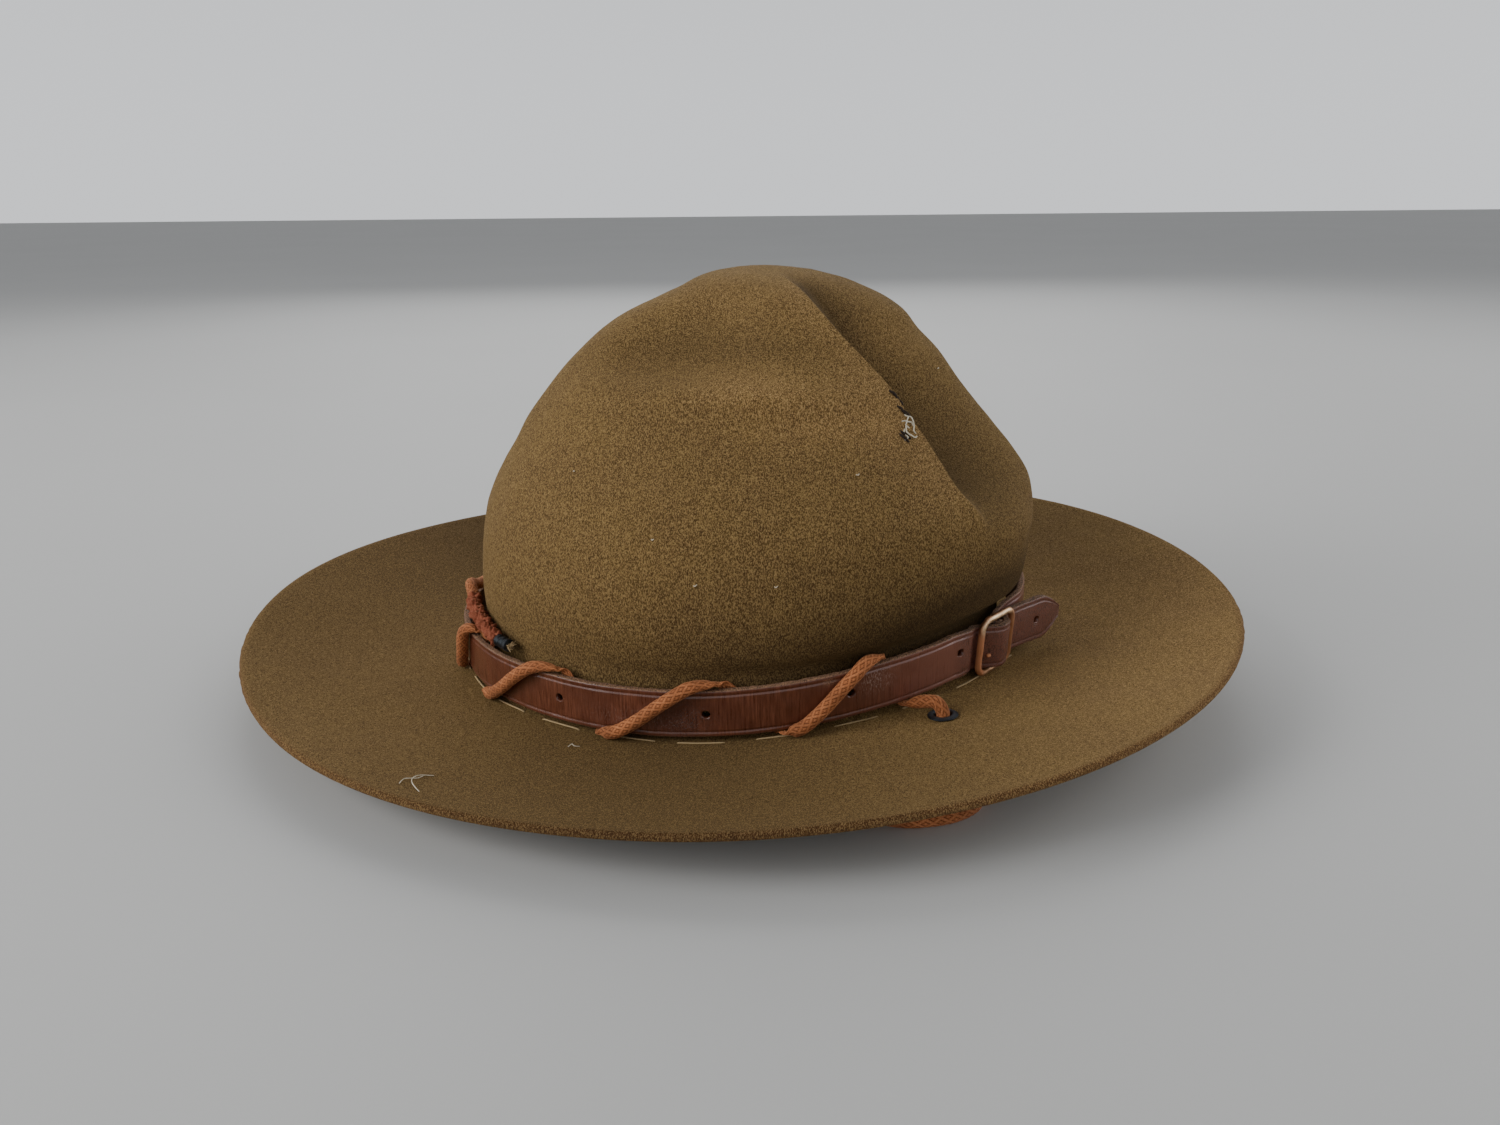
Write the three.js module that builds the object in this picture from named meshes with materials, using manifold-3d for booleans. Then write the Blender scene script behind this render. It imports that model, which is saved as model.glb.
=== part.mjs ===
// A scout's felt campaign hat: one felt body with a pinched crown and a broad brim, a leather hat band
// with its buckle, and a brown lace that is wound on the band and passes through two brim eyelets.
// Millimetres, +Z up. The wearer faces -Y and the wearer's left is +X. The origin lies under the
// middle of the brim, on the surface that the hat rests on. Azimuths run from the wearer's left
// towards the back, in degrees round the oval of the crown's foot.

import * as THREE from "three";
import { ParametricGeometry } from "three/addons/geometries/ParametricGeometry.js";
import { mergeVertices } from "three/addons/utils/BufferGeometryUtils.js";
import Module from "manifold-3d";

const wasm = await Module();
wasm.setup();

// ---------------------------------------------------------------- driving dimensions

const GAP = 0.3; // between pieces that touch
const FELT = 2.4; // thickness of the felt
const FOOT = { halfLength: 98.5, halfWidth: 84.5, lean: 2 }; // outside of the crown where it meets the brim
const ROOT = { bend: 2, level: 5 }; // inside bend between crown and brim, and the level ring beside it
const BRIM_BOW = 1.6; // past its level ring the brim curves up by this power
const LIFT_FADE = { from: 12, to: 60 }; // heights between which the crown stops following the lifted root

// The crown from its foot to its peak. Each row is an oval ring: its height, how far its middle leans
// to the back, its half length and half width, and how deep the pinches and scoops go into it, as
// shares of its size. spread is the width of a pinch in degrees, and crest the azimuth at which the back
// pinch starts.
const CROWN = [
  { height: 4.4, lean: 2, halfLength: 98.5, halfWidth: 84.5, pinch: 0, spread: 16, scoop: 0, crest: 56.25 },
  { height: 13, lean: 2, halfLength: 98.5, halfWidth: 84.4, pinch: 0, spread: 16, scoop: 0, crest: 56.25 },
  { height: 23.5, lean: 2.2, halfLength: 98.6, halfWidth: 84.4, pinch: 0, spread: 16, scoop: 0, crest: 56.25 },
  { height: 30, lean: 5.6, halfLength: 102.2, halfWidth: 86.6, pinch: 0, spread: 16, scoop: 0, crest: 56.25 },
  { height: 40, lean: 6.8, halfLength: 102.9, halfWidth: 88, pinch: 0, spread: 16, scoop: 0, crest: 56.25 },
  { height: 52, lean: 7.6, halfLength: 102.4, halfWidth: 87.6, pinch: 0, spread: 17, scoop: 0, crest: 56.25 },
  { height: 63, lean: 9, halfLength: 101.6, halfWidth: 86, pinch: 0, spread: 18, scoop: 0, crest: 55 },
  { height: 72, lean: 10.2, halfLength: 99.3, halfWidth: 83.5, pinch: 0.06, spread: 20, scoop: 0, crest: 53 },
  { height: 81, lean: 9.7, halfLength: 94.4, halfWidth: 79.8, pinch: 0.17, spread: 23, scoop: 0, crest: 50.3 },
  { height: 90, lean: 8.9, halfLength: 88.4, halfWidth: 75, pinch: 0.235, spread: 26, scoop: 0, crest: 49.5 },
  { height: 98, lean: 8.1, halfLength: 83, halfWidth: 70.5, pinch: 0.27, spread: 28, scoop: 0, crest: 48.6 },
  { height: 106, lean: 8.1, halfLength: 77, halfWidth: 66, pinch: 0.295, spread: 30, scoop: 0, crest: 46.6 },
  { height: 115, lean: 8.5, halfLength: 70.5, halfWidth: 61, pinch: 0.3, spread: 33, scoop: 0.03, crest: 43.5 },
  { height: 123, lean: 8.8, halfLength: 63, halfWidth: 54.5, pinch: 0.3, spread: 37, scoop: 0.12, crest: 39.5 },
  { height: 131.5, lean: 10.9, halfLength: 53.4, halfWidth: 47, pinch: 0.3, spread: 41, scoop: 0.19, crest: 33 },
  { height: 139.5, lean: 13.1, halfLength: 35.5, halfWidth: 38, pinch: 0.27, spread: 42, scoop: 0.16, crest: 31 },
  { height: 144.5, lean: 11.3, halfLength: 20, halfWidth: 24, pinch: 0.18, spread: 42, scoop: 0.07, crest: 34 },
  { height: 147, lean: 11, halfLength: 0, halfWidth: 0, pinch: 0, spread: 42, scoop: 0, crest: 40 },
];
const PEAK = CROWN.length - 1;
const SCOOP_SPREAD = 38;
// The four dents of the crown: two pinches and two soft scoops. A dent's width on either side of its
// azimuth is a multiple of its spread, and a low edge number gives it a firm edge there. The back pinch
// starts at the crest.
const DENTS = [
  { kind: "pinch", azimuth: null, depth: 1.05, before: 0.42, edgeBefore: 0.9, after: 1.6, edgeAfter: 1.7 },
  { kind: "pinch", azimuth: 268, depth: 0.5, before: 1, edgeBefore: 2, after: 1, edgeAfter: 2 },
  { kind: "scoop", azimuth: 348, depth: 1, before: 1, edgeBefore: 2, after: 1, edgeAfter: 2 },
  { kind: "scoop", azimuth: 190, depth: 1.3, before: 1, edgeBefore: 2, after: 1, edgeAfter: 2 },
];

// The brim at every 45 degrees of azimuth: how far its edge stands out from the crown's foot, and the
// height of its underside at the edge and at the crown's foot. strap is the height of the band's lower
// edge there.
const RIM = [
  { place: "left", reach: 78.6, rise: 14.6, root: 1.5, strap: 5.8 },
  { place: "back left", reach: 80.3, rise: 22.1, root: 8.2, strap: 13.6 },
  { place: "back", reach: 82.8, rise: 28.1, root: 8.6, strap: 18.2 },
  { place: "back right", reach: 80.7, rise: 29.2, root: 11.8, strap: 17.2 },
  { place: "right", reach: 78.6, rise: 20.4, root: 5, strap: 9.2 },
  { place: "front right", reach: 83.3, rise: 17.7, root: 0, strap: 4.4 },
  { place: "front", reach: 86.8, rise: 19.4, root: 0, strap: 4.4 },
  { place: "front left", reach: 83.3, rise: 13.5, root: 0, strap: 4.4 },
];

// The leather band: the oval of its middle and its section. Round the back it stands off the crown.
const BAND = { halfLength: 104, halfWidth: 88, lean: 0, thick: 2.4, tall: 16 };
const BAND_LOWEST = 4.4; // the least height of its lower edge
const BAND_LOOSE = { azimuth: 125, level: 38, spread: 60, out: 4.5 };
const PUNCHED_HOLE = 2.8;
const BAND_HOLES = [
  { azimuth: -25.7, up: 0.4 },
  { azimuth: 3.2, up: 0 },
  { azimuth: 29.1, up: 0.6 },
  { azimuth: 54.6, up: 1.2 },
];
const TIP_HOLE_ALONG = 27;
const BAND_RUN_STEP = 5; // degrees between the sections of the band's plain run
const BAND_JOIN = 13.5; // degrees from the buckle at which the plain run starts and ends

// The buckle. Its centre bar stands off the crown by barOut and is set back from the frame, which turns
// outwards at the back (swing), at its foot (tilt) and in its own plane (roll), in degrees. drop is
// how far it pulls the band down.
const BUCKLE = {
  azimuth: 66.5, width: 20.4, height: 22.6, wire: 2.3, corner: 5, bar: 2,
  barOut: 5.2, setBack: 1.3, swing: 9, tilt: 5, roll: 2.5, drop: 1.6,
};
const BAR_OUT = BUCKLE.barOut;
const FOLD = { inner: 1.3, half: 0.55 };
const FOLD_MIDDLE = FOLD.inner + FOLD.half;
const PRONG = { wire: 1.4, eye: 1.95, up: -3.4, tip: -7.2, slot: 2.95 };
// The strap where it passes the buckle, seen from above: along runs towards the strap's tip, out is
// the distance from the crown's tangent there. The fixed end folds round the centre bar.
const FIXED_END = [
  { along: 1.6, out: BAR_OUT + FOLD_MIDDLE, half: FOLD.half },
  { along: 0, out: BAR_OUT + FOLD_MIDDLE, half: FOLD.half },
  { along: -1.3, out: BAR_OUT + 1.3, half: FOLD.half },
  { along: -FOLD_MIDDLE, out: BAR_OUT, half: FOLD.half },
  { along: -1.3, out: BAR_OUT - 1.3, half: FOLD.half },
  { along: 0.2, out: BAR_OUT - FOLD_MIDDLE, half: FOLD.half },
  { along: 3, out: 2.9, half: 0.6 },
  { along: 6.5, out: 2.6, half: 0.7 },
  { along: 10, out: 2.7, half: 0.8 },
  { along: 15, out: 3.2, half: 1 },
];
const FREE_END = [
  { along: -16.5, out: 2.1, half: 1.2, tall: 1 },
  { along: -12.6, out: 2.3, half: 1.2, tall: 1 },
  { along: -10.6, out: 1.7, half: 1.2, tall: 1 },
  { along: -8.8, out: 1.9, half: 1.2, tall: 1 },
  { along: -7.2, out: 3.2, half: 1.2, tall: 1 },
  { along: -5.6, out: 5.2, half: 1.2, tall: 1 },
  { along: -3.9, out: 7.6, half: 1.2, tall: 1 },
  { along: -2, out: 9.2, half: 1.2, tall: 1 },
  { along: 0, out: 9.6, half: 1.2, tall: 1 },
  { along: 2.1, out: 9.2, half: 1.2, tall: 1 },
  { along: 4, out: 7.9, half: 1.2, tall: 1 },
  { along: 5.7, out: 6.3, half: 1.2, tall: 1 },
  { along: 7.3, out: 5.3, half: 1.2, tall: 1 },
  { along: 9, out: 5, half: 1.2, tall: 1 },
  { along: 11.5, out: 5.3, half: 1.2, tall: 1 },
  { along: 16, out: 6.3, half: 1.2, tall: 1 },
  { along: 24, out: 8.3, half: 1.2, tall: 1 },
  { along: 31, out: 10.3, half: 1.2, tall: 1 },
  { along: 35.5, out: 11.5, half: 1.2, tall: 0.75 },
  { along: 40.5, out: 12.7, half: 1.1, tall: 0.28 },
];

const EYELET = { azimuth: 43.7, fromWall: 16.5, hole: 5.4, barrel: 6.2, flange: 10, sheet: 0.5 };

const LACE = 4.4; // diameter of the brown lace
// Where the lace passes under the band's lower edge and back over its upper edge, on the left side;
// the right side is its mirror image.
const CROSSINGS = [
  { under: 40.3, over: 34.7 },
  { under: 17, over: 4.6 },
  { under: -16.9, over: -26.8 },
  { under: -48.6, over: -56.5 },
];
// One turn of the lace round the band, in two legs: share is the part of the leg's azimuth that is
// done, out and up are measured from the middle of the band's section.
const INNER_LEG = [
  { share: 0, out: 0, up: -8.9, thick: 1 },
  { share: 0.04, out: -1.75, up: -8.85, thick: 1 },
  { share: 0.14, out: -2.4, up: -6.6, thick: 1.2 },
  { share: 0.55, out: -2.3, up: 1, thick: 1.6 },
  { share: 0.86, out: -2.05, up: 8.4, thick: 1 },
];
const OUTER_LEG = [
  { share: 0, out: -0.5, up: 9.7, thick: 1.7 },
  { share: 0.06, out: 0.4, up: 10.05, thick: 2.8 },
  { share: 0.13, out: 1.5, up: 10.15, thick: 3.4 },
  { share: 0.21, out: 2.7, up: 9.6, thick: 3.8 },
  { share: 0.3, out: 3.6, up: 7.7, thick: 4.3 },
  { share: 0.45, out: 3.75, up: 3.6, thick: 4.4 },
  { share: 0.63, out: 3.75, up: -1.9, thick: 4.4 },
  { share: 0.8, out: 3.75, up: -6.2, thick: 4.4 },
  { share: 0.9, out: 3.55, up: -7.5, thick: 3.9 },
  { share: 0.955, out: 3, up: -8.5, thick: 1.2 },
];
const EYELET_LEAD = [
  { azimuth: 43.2, out: 11.7, up: -6, thick: 4.2 },
  { azimuth: 42.5, out: 9, up: -6.2, thick: 4.4 },
  { azimuth: 41.7, out: 6, up: -7.2, thick: 4.2 },
  { azimuth: 41, out: 3.6, up: -8.2, thick: 3 },
  { azimuth: 40.6, out: 2, up: -8.95, thick: 1.2 },
];
// The left half ends tucked behind the band at the front.
const LEFT_TUCK = [
  { azimuth: -66.3, out: 0, up: -8.9, thick: 1.2 },
  { azimuth: -67, out: -2, up: -8.9, thick: 1.2 },
  { azimuth: -69, out: -2.7, up: -6, thick: 1.4 },
  { azimuth: -74, out: -2.35, up: 3, thick: 1.6 },
];
// The right half comes round the front, stands up in a small loop, passes over the left half and lies
// along the band's top edge.
const RIGHT_END = [
  { azimuth: 256, out: -1.4, up: 9.9, thick: 2.2 },
  { azimuth: 264, out: -1.1, up: 10.2, thick: 3.6 },
  { azimuth: 271, out: -1.2, up: 11, thick: 4.4 },
  { azimuth: 276, out: -1, up: 12.8, thick: 4.4 },
  { azimuth: 280, out: -1, up: 15.4, thick: 4.4 },
  { azimuth: 283.5, out: -1.8, up: 15.8, thick: 4.4 },
  { azimuth: 287, out: -2.8, up: 14, thick: 4.4 },
  { azimuth: 292, out: -3, up: 13.4, thick: 4.4 },
  { azimuth: 298, out: -2.8, up: 13.4, thick: 4.4 },
  { azimuth: 304, out: -2.5, up: 13.2, thick: 4.4 },
  { azimuth: 309, out: -2.3, up: 11.9, thick: 4.4 },
  { azimuth: 313, out: -2.1, up: 11, thick: 3.8 },
];
const LAST_RISE = { under: 228.6, over: 250 };
const AGLET = { from: 313.6, to: 318, diameter: 4.4 };

// The free stretch of the lace, from the left eyelet down to the surface, out under the brim, back in
// under the crown's foot and straight across to the right eyelet.
const LOOP_REST = LACE / 2;
const LOOP_ROUTE = [
  [74.8, 81.3, 5],
  [78.4, 83.4, 2.9],
  [85, 86.4, LOOP_REST],
  [96, 90, LOOP_REST],
  [105, 91.2, LOOP_REST],
  [113, 89.5, LOOP_REST],
  [119, 84, LOOP_REST],
  [122.6, 76.5, LOOP_REST],
  [124, 69, LOOP_REST],
  [122.6, 62, LOOP_REST],
  [118, 55.5, LOOP_REST],
  [110.5, 50.5, LOOP_REST],
  [101, 46.5, LOOP_REST],
  [89, 42.8, LOOP_REST],
  [74, 39.4, LOOP_REST],
  [56, 36, LOOP_REST],
  [36, 33.5, LOOP_REST],
  [14, 32.2, LOOP_REST],
  [-14, 32, LOOP_REST],
  [-36, 33, LOOP_REST],
  [-56, 35, LOOP_REST],
  [-74, 38, LOOP_REST],
  [-88, 42.5, LOOP_REST],
  [-97, 49, LOOP_REST],
  [-101, 58.5, LOOP_REST],
  [-98.5, 68.5, LOOP_REST],
  [-91.5, 76.5, LOOP_REST],
  [-81.5, 82, 3],
  [-76, 82, 6.2],
];
const LOOP_STEPS = 56;
const LACE_SIDES = 8;

// ---------------------------------------------------------------- tables, curves and solids

const { degToRad, euclideanModulo, smoothstep, clamp, lerp } = THREE.MathUtils;
const UP = new THREE.Vector3(0, 0, 1);

// The value of one column at a fractional row, on a Catmull-Rom curve through the rows.
function columnAt(rows, column, place, rowAt) {
  const first = Math.floor(place);
  const t = place - first;
  const [a, b, c, d] = [-1, 0, 1, 2].map((step) => rowAt(rows, first + step)[column]);
  return b + 0.5 * t * (c - a + t * (2 * a - 5 * b + 4 * c - d + t * (3 * (b - c) + d - a)));
}

const clampedRow = (rows, index) => rows[clamp(index, 0, rows.length - 1)];
const ringRow = (rows, index) => rows[euclideanModulo(index, rows.length)];
const alongRows = (rows, column, place) => columnAt(rows, column, place, clampedRow);
const roundRing = (rows, column, azimuth) => columnAt(rows, column, (azimuth * rows.length) / 360, ringRow);
const turnBetween = (a, b) => euclideanModulo(a - b + 180, 360) - 180;

// Merges the doubled vertices of a surface, drops the faces that this collapses and turns the rest out.
function closedSurface(geometry) {
  const bare = new THREE.BufferGeometry();
  bare.setAttribute("position", geometry.getAttribute("position"));
  bare.setIndex(geometry.index);
  const merged = mergeVertices(bare, 1e-4);
  const position = merged.getAttribute("position");
  const [a, b, c] = [new THREE.Vector3(), new THREE.Vector3(), new THREE.Vector3()];
  const faces = [];
  let sixVolumes = 0;
  for (let i = 0; i < merged.index.count; i += 3) {
    const face = [0, 1, 2].map((corner) => merged.index.getX(i + corner));
    if (new Set(face).size < 3) continue;
    faces.push(face);
    [a, b, c].forEach((corner, k) => corner.fromBufferAttribute(position, face[k]));
    sixVolumes += a.dot(b.cross(c));
  }
  if (sixVolumes < 0) faces.forEach((face) => face.reverse());
  merged.setIndex(faces.flat());
  return merged;
}

function toSolid(geometry) {
  const surface = closedSurface(geometry);
  const mesh = new wasm.Mesh({
    numProp: 3,
    vertProperties: surface.getAttribute("position").array,
    triVerts: new Uint32Array(surface.index.array),
  });
  return new wasm.Manifold(mesh);
}

function fromSolid(solid) {
  const { vertProperties, triVerts } = solid.getMesh();
  const geometry = new THREE.BufferGeometry();
  geometry.setAttribute("position", new THREE.BufferAttribute(vertProperties, 3));
  geometry.setIndex(new THREE.BufferAttribute(triVerts, 1));
  return geometry;
}

// A section carried through stations. A station has a centre and the half axes of the section there.
// An open sweep ends in flat caps; a closed one joins its last station to its first.
function sweep(stations, section, closed = false) {
  const cap = ({ center }) => ({ center, wide: new THREE.Vector3(), thick: new THREE.Vector3() });
  const rows = closed ? [...stations, stations[0]] : [cap(stations[0]), ...stations, cap(stations.at(-1))];
  const pointOf = (u, v, target) => {
    const corner = section[Math.round(u * section.length) % section.length];
    const row = rows[Math.round(v * (rows.length - 1))];
    target.copy(row.center).addScaledVector(row.wide, corner.wide).addScaledVector(row.thick, corner.thick);
  };
  return closedSurface(new ParametricGeometry(pointOf, section.length, rows.length - 1));
}

function roundSection(sides) {
  return Array.from({ length: sides }, (_, i) => {
    const angle = (2 * Math.PI * (i + 0.5)) / sides;
    return { wide: Math.cos(angle), thick: Math.sin(angle) };
  });
}

const STRAP_SECTION = [
  { wide: -1, thick: -1 },
  { wide: 1, thick: -1 },
  { wide: 1, thick: 1 },
  { wide: -1, thick: 1 },
];

function drillBit(diameter, length, centre, direction, sides) {
  const bit = new THREE.CylinderGeometry(diameter / 2, diameter / 2, length, sides);
  const turn = new THREE.Quaternion().setFromUnitVectors(new THREE.Vector3(0, 1, 0), direction);
  return bit.applyQuaternion(turn).translate(centre.x, centre.y, centre.z);
}

// ---------------------------------------------------------------- the felt's shape

// Directions in plan at an azimuth of an oval: out of it, and along it.
function planFrame(azimuth, oval = FOOT) {
  const angle = degToRad(azimuth);
  const foot = new THREE.Vector3(
    oval.halfWidth * Math.cos(angle),
    oval.halfLength * Math.sin(angle) + oval.lean,
    0,
  );
  const out = new THREE.Vector3(Math.cos(angle) / oval.halfWidth, Math.sin(angle) / oval.halfLength, 0);
  out.normalize();
  return { foot, out, along: new THREE.Vector3(-out.y, out.x, 0) };
}

const rootLift = (azimuth) => Math.max(0, roundRing(RIM, "root", azimuth));

// How far the dents go in at a row of the crown, as a share of the ring's size: each is a bump that
// falls from its middle to nothing at its spread.
function dentShare(azimuth, row) {
  return DENTS.reduce((share, dent) => {
    const spread = dent.kind === "pinch" ? alongRows(CROWN, "spread", row) : SCOOP_SPREAD;
    const middle = dent.azimuth ?? alongRows(CROWN, "crest", row) + dent.before * spread;
    const turn = turnBetween(azimuth, middle);
    const across = turn / (spread * (turn < 0 ? dent.before : dent.after));
    const edge = turn < 0 ? dent.edgeBefore : dent.edgeAfter;
    const bump = Math.abs(across) < 1 ? (1 - across * across) ** edge : 0;
    return share + dent.depth * alongRows(CROWN, dent.kind, row) * bump;
  }, 0);
}

function crownPoint(azimuth, row) {
  const angle = degToRad(azimuth);
  const kept = 1 - dentShare(azimuth, row);
  const height = alongRows(CROWN, "height", row);
  const follow = 1 - smoothstep(height, LIFT_FADE.from, LIFT_FADE.to);
  return new THREE.Vector3(
    kept * alongRows(CROWN, "halfWidth", row) * Math.cos(angle),
    kept * alongRows(CROWN, "halfLength", row) * Math.sin(angle) + alongRows(CROWN, "lean", row),
    height + follow * rootLift(azimuth),
  );
}

// The top of the brim at a distance out from the crown's foot: the bend, the level ring, the bow.
function brimPoint(azimuth, distance) {
  const { foot, out } = planFrame(azimuth);
  const root = rootLift(azimuth);
  const level = ROOT.bend + ROOT.level;
  let height = root + FELT;
  if (distance < ROOT.bend) {
    const inward = ROOT.bend - distance;
    height += ROOT.bend - Math.sqrt(ROOT.bend ** 2 - inward ** 2);
  } else if (distance > level) {
    const share = (distance - level) / (roundRing(RIM, "reach", azimuth) - level);
    height += (roundRing(RIM, "rise", azimuth) - root) * share ** BRIM_BOW;
  }
  return foot.addScaledVector(out, distance).setZ(height);
}

// The felt's outer face from the peak (0) to the crown's foot (1), round the bend (2) and over the brim
// to its edge (3).
function feltFace(azimuth, place) {
  if (place <= 1) return crownPoint(azimuth, PEAK * (1 - place));
  if (place <= 2) return brimPoint(azimuth, ROOT.bend * (1 - Math.cos((Math.PI / 2) * (place - 1))));
  return brimPoint(azimuth, lerp(ROOT.bend, roundRing(RIM, "reach", azimuth), place - 2));
}

const PROBE = 1e-3;
function feltNormal(azimuth, place) {
  if (place < PROBE) return UP.clone();
  const round = feltFace(azimuth + PROBE, place).sub(feltFace(azimuth - PROBE, place));
  const down = feltFace(azimuth, Math.min(place + PROBE, 3)).sub(feltFace(azimuth, place - PROBE));
  return down.cross(round).normalize();
}

const steps = (from, to, count) => Array.from({ length: count }, (_, i) => lerp(from, to, i / count));
const OUTER_PLACES = [...steps(0, 1, 20), ...steps(1, 2, 2), 2, 2 + ROOT.level / 80, ...steps(2.2, 3, 4), 3];
const INNER_PLACES = [3, 2.8, 2.5, 2.25, 2 + ROOT.level / 80, 2, 1.6, 1, ...steps(0.92, 0, 12), 0];
const FELT_SIDES = 64;

// The azimuth of a side of the felt's grid at a place. One side follows the crest from the crown's
// foot to its peak, and its neighbours go part of the way with it.
const CREST_SIDE = { azimuth: 56.25, reach: 90 };
function gridAzimuth(side, place) {
  const azimuth = (360 * side) / FELT_SIDES;
  const crest = alongRows(CROWN, "crest", PEAK * (1 - Math.min(place, 1)));
  const away = Math.min(1, Math.abs(turnBetween(azimuth, CREST_SIDE.azimuth)) / CREST_SIDE.reach);
  return azimuth + (crest - CREST_SIDE.azimuth) * (1 - away) ** 2;
}

// The felt's wall from its outer face round the brim's edge to its inner face, which is one felt
// thickness inside.
function feltBody() {
  const wall = [
    ...OUTER_PLACES.map((place) => ({ place, depth: 0 })),
    { place: 3, depth: 0.5 },
    ...INNER_PLACES.map((place) => ({ place, depth: 1 })),
  ];
  const pointOf = (u, v, target) => {
    const { place, depth } = wall[Math.round(v * (wall.length - 1))];
    const azimuth = gridAzimuth(Math.round(u * FELT_SIDES) % FELT_SIDES, place);
    target.copy(feltFace(azimuth, place)).addScaledVector(feltNormal(azimuth, place), -FELT * depth);
    if (Math.abs(target.z) < 1e-4) target.z = 0;
  };
  const shell = toSolid(new ParametricGeometry(pointOf, FELT_SIDES, wall.length - 1));
  const holes = EYELET_PLACES.map(({ top, up }) =>
    toSolid(drillBit(EYELET.barrel + 2 * GAP, 4 * FELT, top, up, 20)),
  );
  return fromSolid(holes.reduce((solid, hole) => solid.subtract(hole), shell));
}

// ---------------------------------------------------------------- eyelets

function eyeletPlace(azimuth) {
  const distance = EYELET.fromWall;
  const top = brimPoint(azimuth, distance);
  const round = brimPoint(azimuth + PROBE, distance).sub(brimPoint(azimuth - PROBE, distance));
  const outwards = brimPoint(azimuth, distance + PROBE).sub(brimPoint(azimuth, distance - PROBE));
  return { top, up: outwards.cross(round).normalize() };
}

const EYELET_PLACES = [EYELET.azimuth, 180 - EYELET.azimuth].map(eyeletPlace);

// A pressed eyelet: a barrel through the felt with a flange on each face.
function eyeletBody({ top, up }) {
  const hole = EYELET.hole / 2;
  const barrel = EYELET.barrel / 2;
  const flange = EYELET.flange / 2;
  const above = GAP;
  const below = -FELT - GAP;
  const profile = [
    [hole, below - EYELET.sheet],
    [flange - 1, below - EYELET.sheet],
    [flange - 1, below],
    [barrel, below],
    [barrel, above],
    [flange, above],
    [flange - 0.8, above + EYELET.sheet],
    [hole, above + EYELET.sheet],
    [hole, below - EYELET.sheet],
  ].map(([radius, height]) => new THREE.Vector2(radius, height));
  const ring = new THREE.LatheGeometry(profile, 16);
  const turn = new THREE.Quaternion().setFromUnitVectors(new THREE.Vector3(0, 1, 0), up);
  return closedSurface(ring.applyQuaternion(turn).translate(top.x, top.y, top.z));
}

// ---------------------------------------------------------------- hat band and buckle

const nearBuckle = (azimuth, level, spread) =>
  1 - smoothstep(Math.abs(turnBetween(azimuth, BUCKLE.azimuth)), level, spread);

function bandMiddleHeight(azimuth) {
  const lowerEdge = Math.max(BAND_LOWEST, roundRing(RIM, "strap", azimuth));
  return lowerEdge + BAND.tall / 2 - BUCKLE.drop * nearBuckle(azimuth, 3, 13);
}

// A point by azimuth, measured from the middle of the band's section.
function atBand(azimuth, out, up) {
  const plan = planFrame(azimuth, BAND);
  const away = Math.abs(turnBetween(azimuth, BAND_LOOSE.azimuth));
  const loose = BAND_LOOSE.out * (1 - smoothstep(away, BAND_LOOSE.level, BAND_LOOSE.spread));
  return plan.foot.addScaledVector(plan.out, loose + out).setZ(bandMiddleHeight(azimuth) + up);
}

// A point by its place at the buckle: along the strap, out from the crown's tangent, up from its middle.
const BUCKLE_PLAN = planFrame(BUCKLE.azimuth);
const BUCKLE_HEIGHT = bandMiddleHeight(BUCKLE.azimuth);
function atBuckle(along, out, up) {
  return BUCKLE_PLAN.foot
    .clone()
    .addScaledVector(BUCKLE_PLAN.along, along)
    .addScaledVector(BUCKLE_PLAN.out, out)
    .setZ(BUCKLE_HEIGHT + up);
}

// The buckle's own axes: along its width, up its height and square to its face.
function buckleAxes() {
  const level = new THREE.Matrix4().makeBasis(BUCKLE_PLAN.along, BUCKLE_PLAN.out.clone().negate(), UP);
  const turn = new THREE.Euler(degToRad(BUCKLE.tilt), degToRad(-BUCKLE.roll), degToRad(-BUCKLE.swing), "ZXY");
  const axes = level.multiply(new THREE.Matrix4().makeRotationFromEuler(turn));
  const [width, inwards, height] = [new THREE.Vector3(), new THREE.Vector3(), new THREE.Vector3()];
  axes.extractBasis(width, inwards, height);
  return { width, height, face: inwards.negate() };
}
const AXES = buckleAxes();

// A point of the prong: along the strap and out from the centre bar.
const atProng = (along, out) => atBuckle(along, BAR_OUT + out, 0).addScaledVector(AXES.height, PRONG.up);

// Stations of a strap through middle points, its thickness square to its run. At the buckle it leans
// with the buckle's height.
function strapStations(middles) {
  return middles.map(({ center, half, tall, lean }, i) => {
    const before = middles[Math.max(i - 1, 0)].center;
    const after = middles[Math.min(i + 1, middles.length - 1)].center;
    const wide = UP.clone().lerp(AXES.height, lean).normalize();
    const across = after.clone().sub(before).cross(wide).normalize();
    return { center, wide: wide.multiplyScalar((tall * BAND.tall) / 2), thick: across.multiplyScalar(half) };
  });
}

const MM_PER_DEGREE = degToRad(
  Math.hypot(BAND.halfWidth * BUCKLE_PLAN.out.y, BAND.halfLength * BUCKLE_PLAN.out.x),
);
function strapRow({ along, out, half, tall = 1 }, followsRoot) {
  const up = followsRoot ? bandMiddleHeight(BUCKLE.azimuth + along / MM_PER_DEGREE) - BUCKLE_HEIGHT : 0;
  const lean = 1 - smoothstep(Math.abs(along), 11, 18);
  return { center: atBuckle(along, out, up), half, tall, lean };
}

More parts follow.
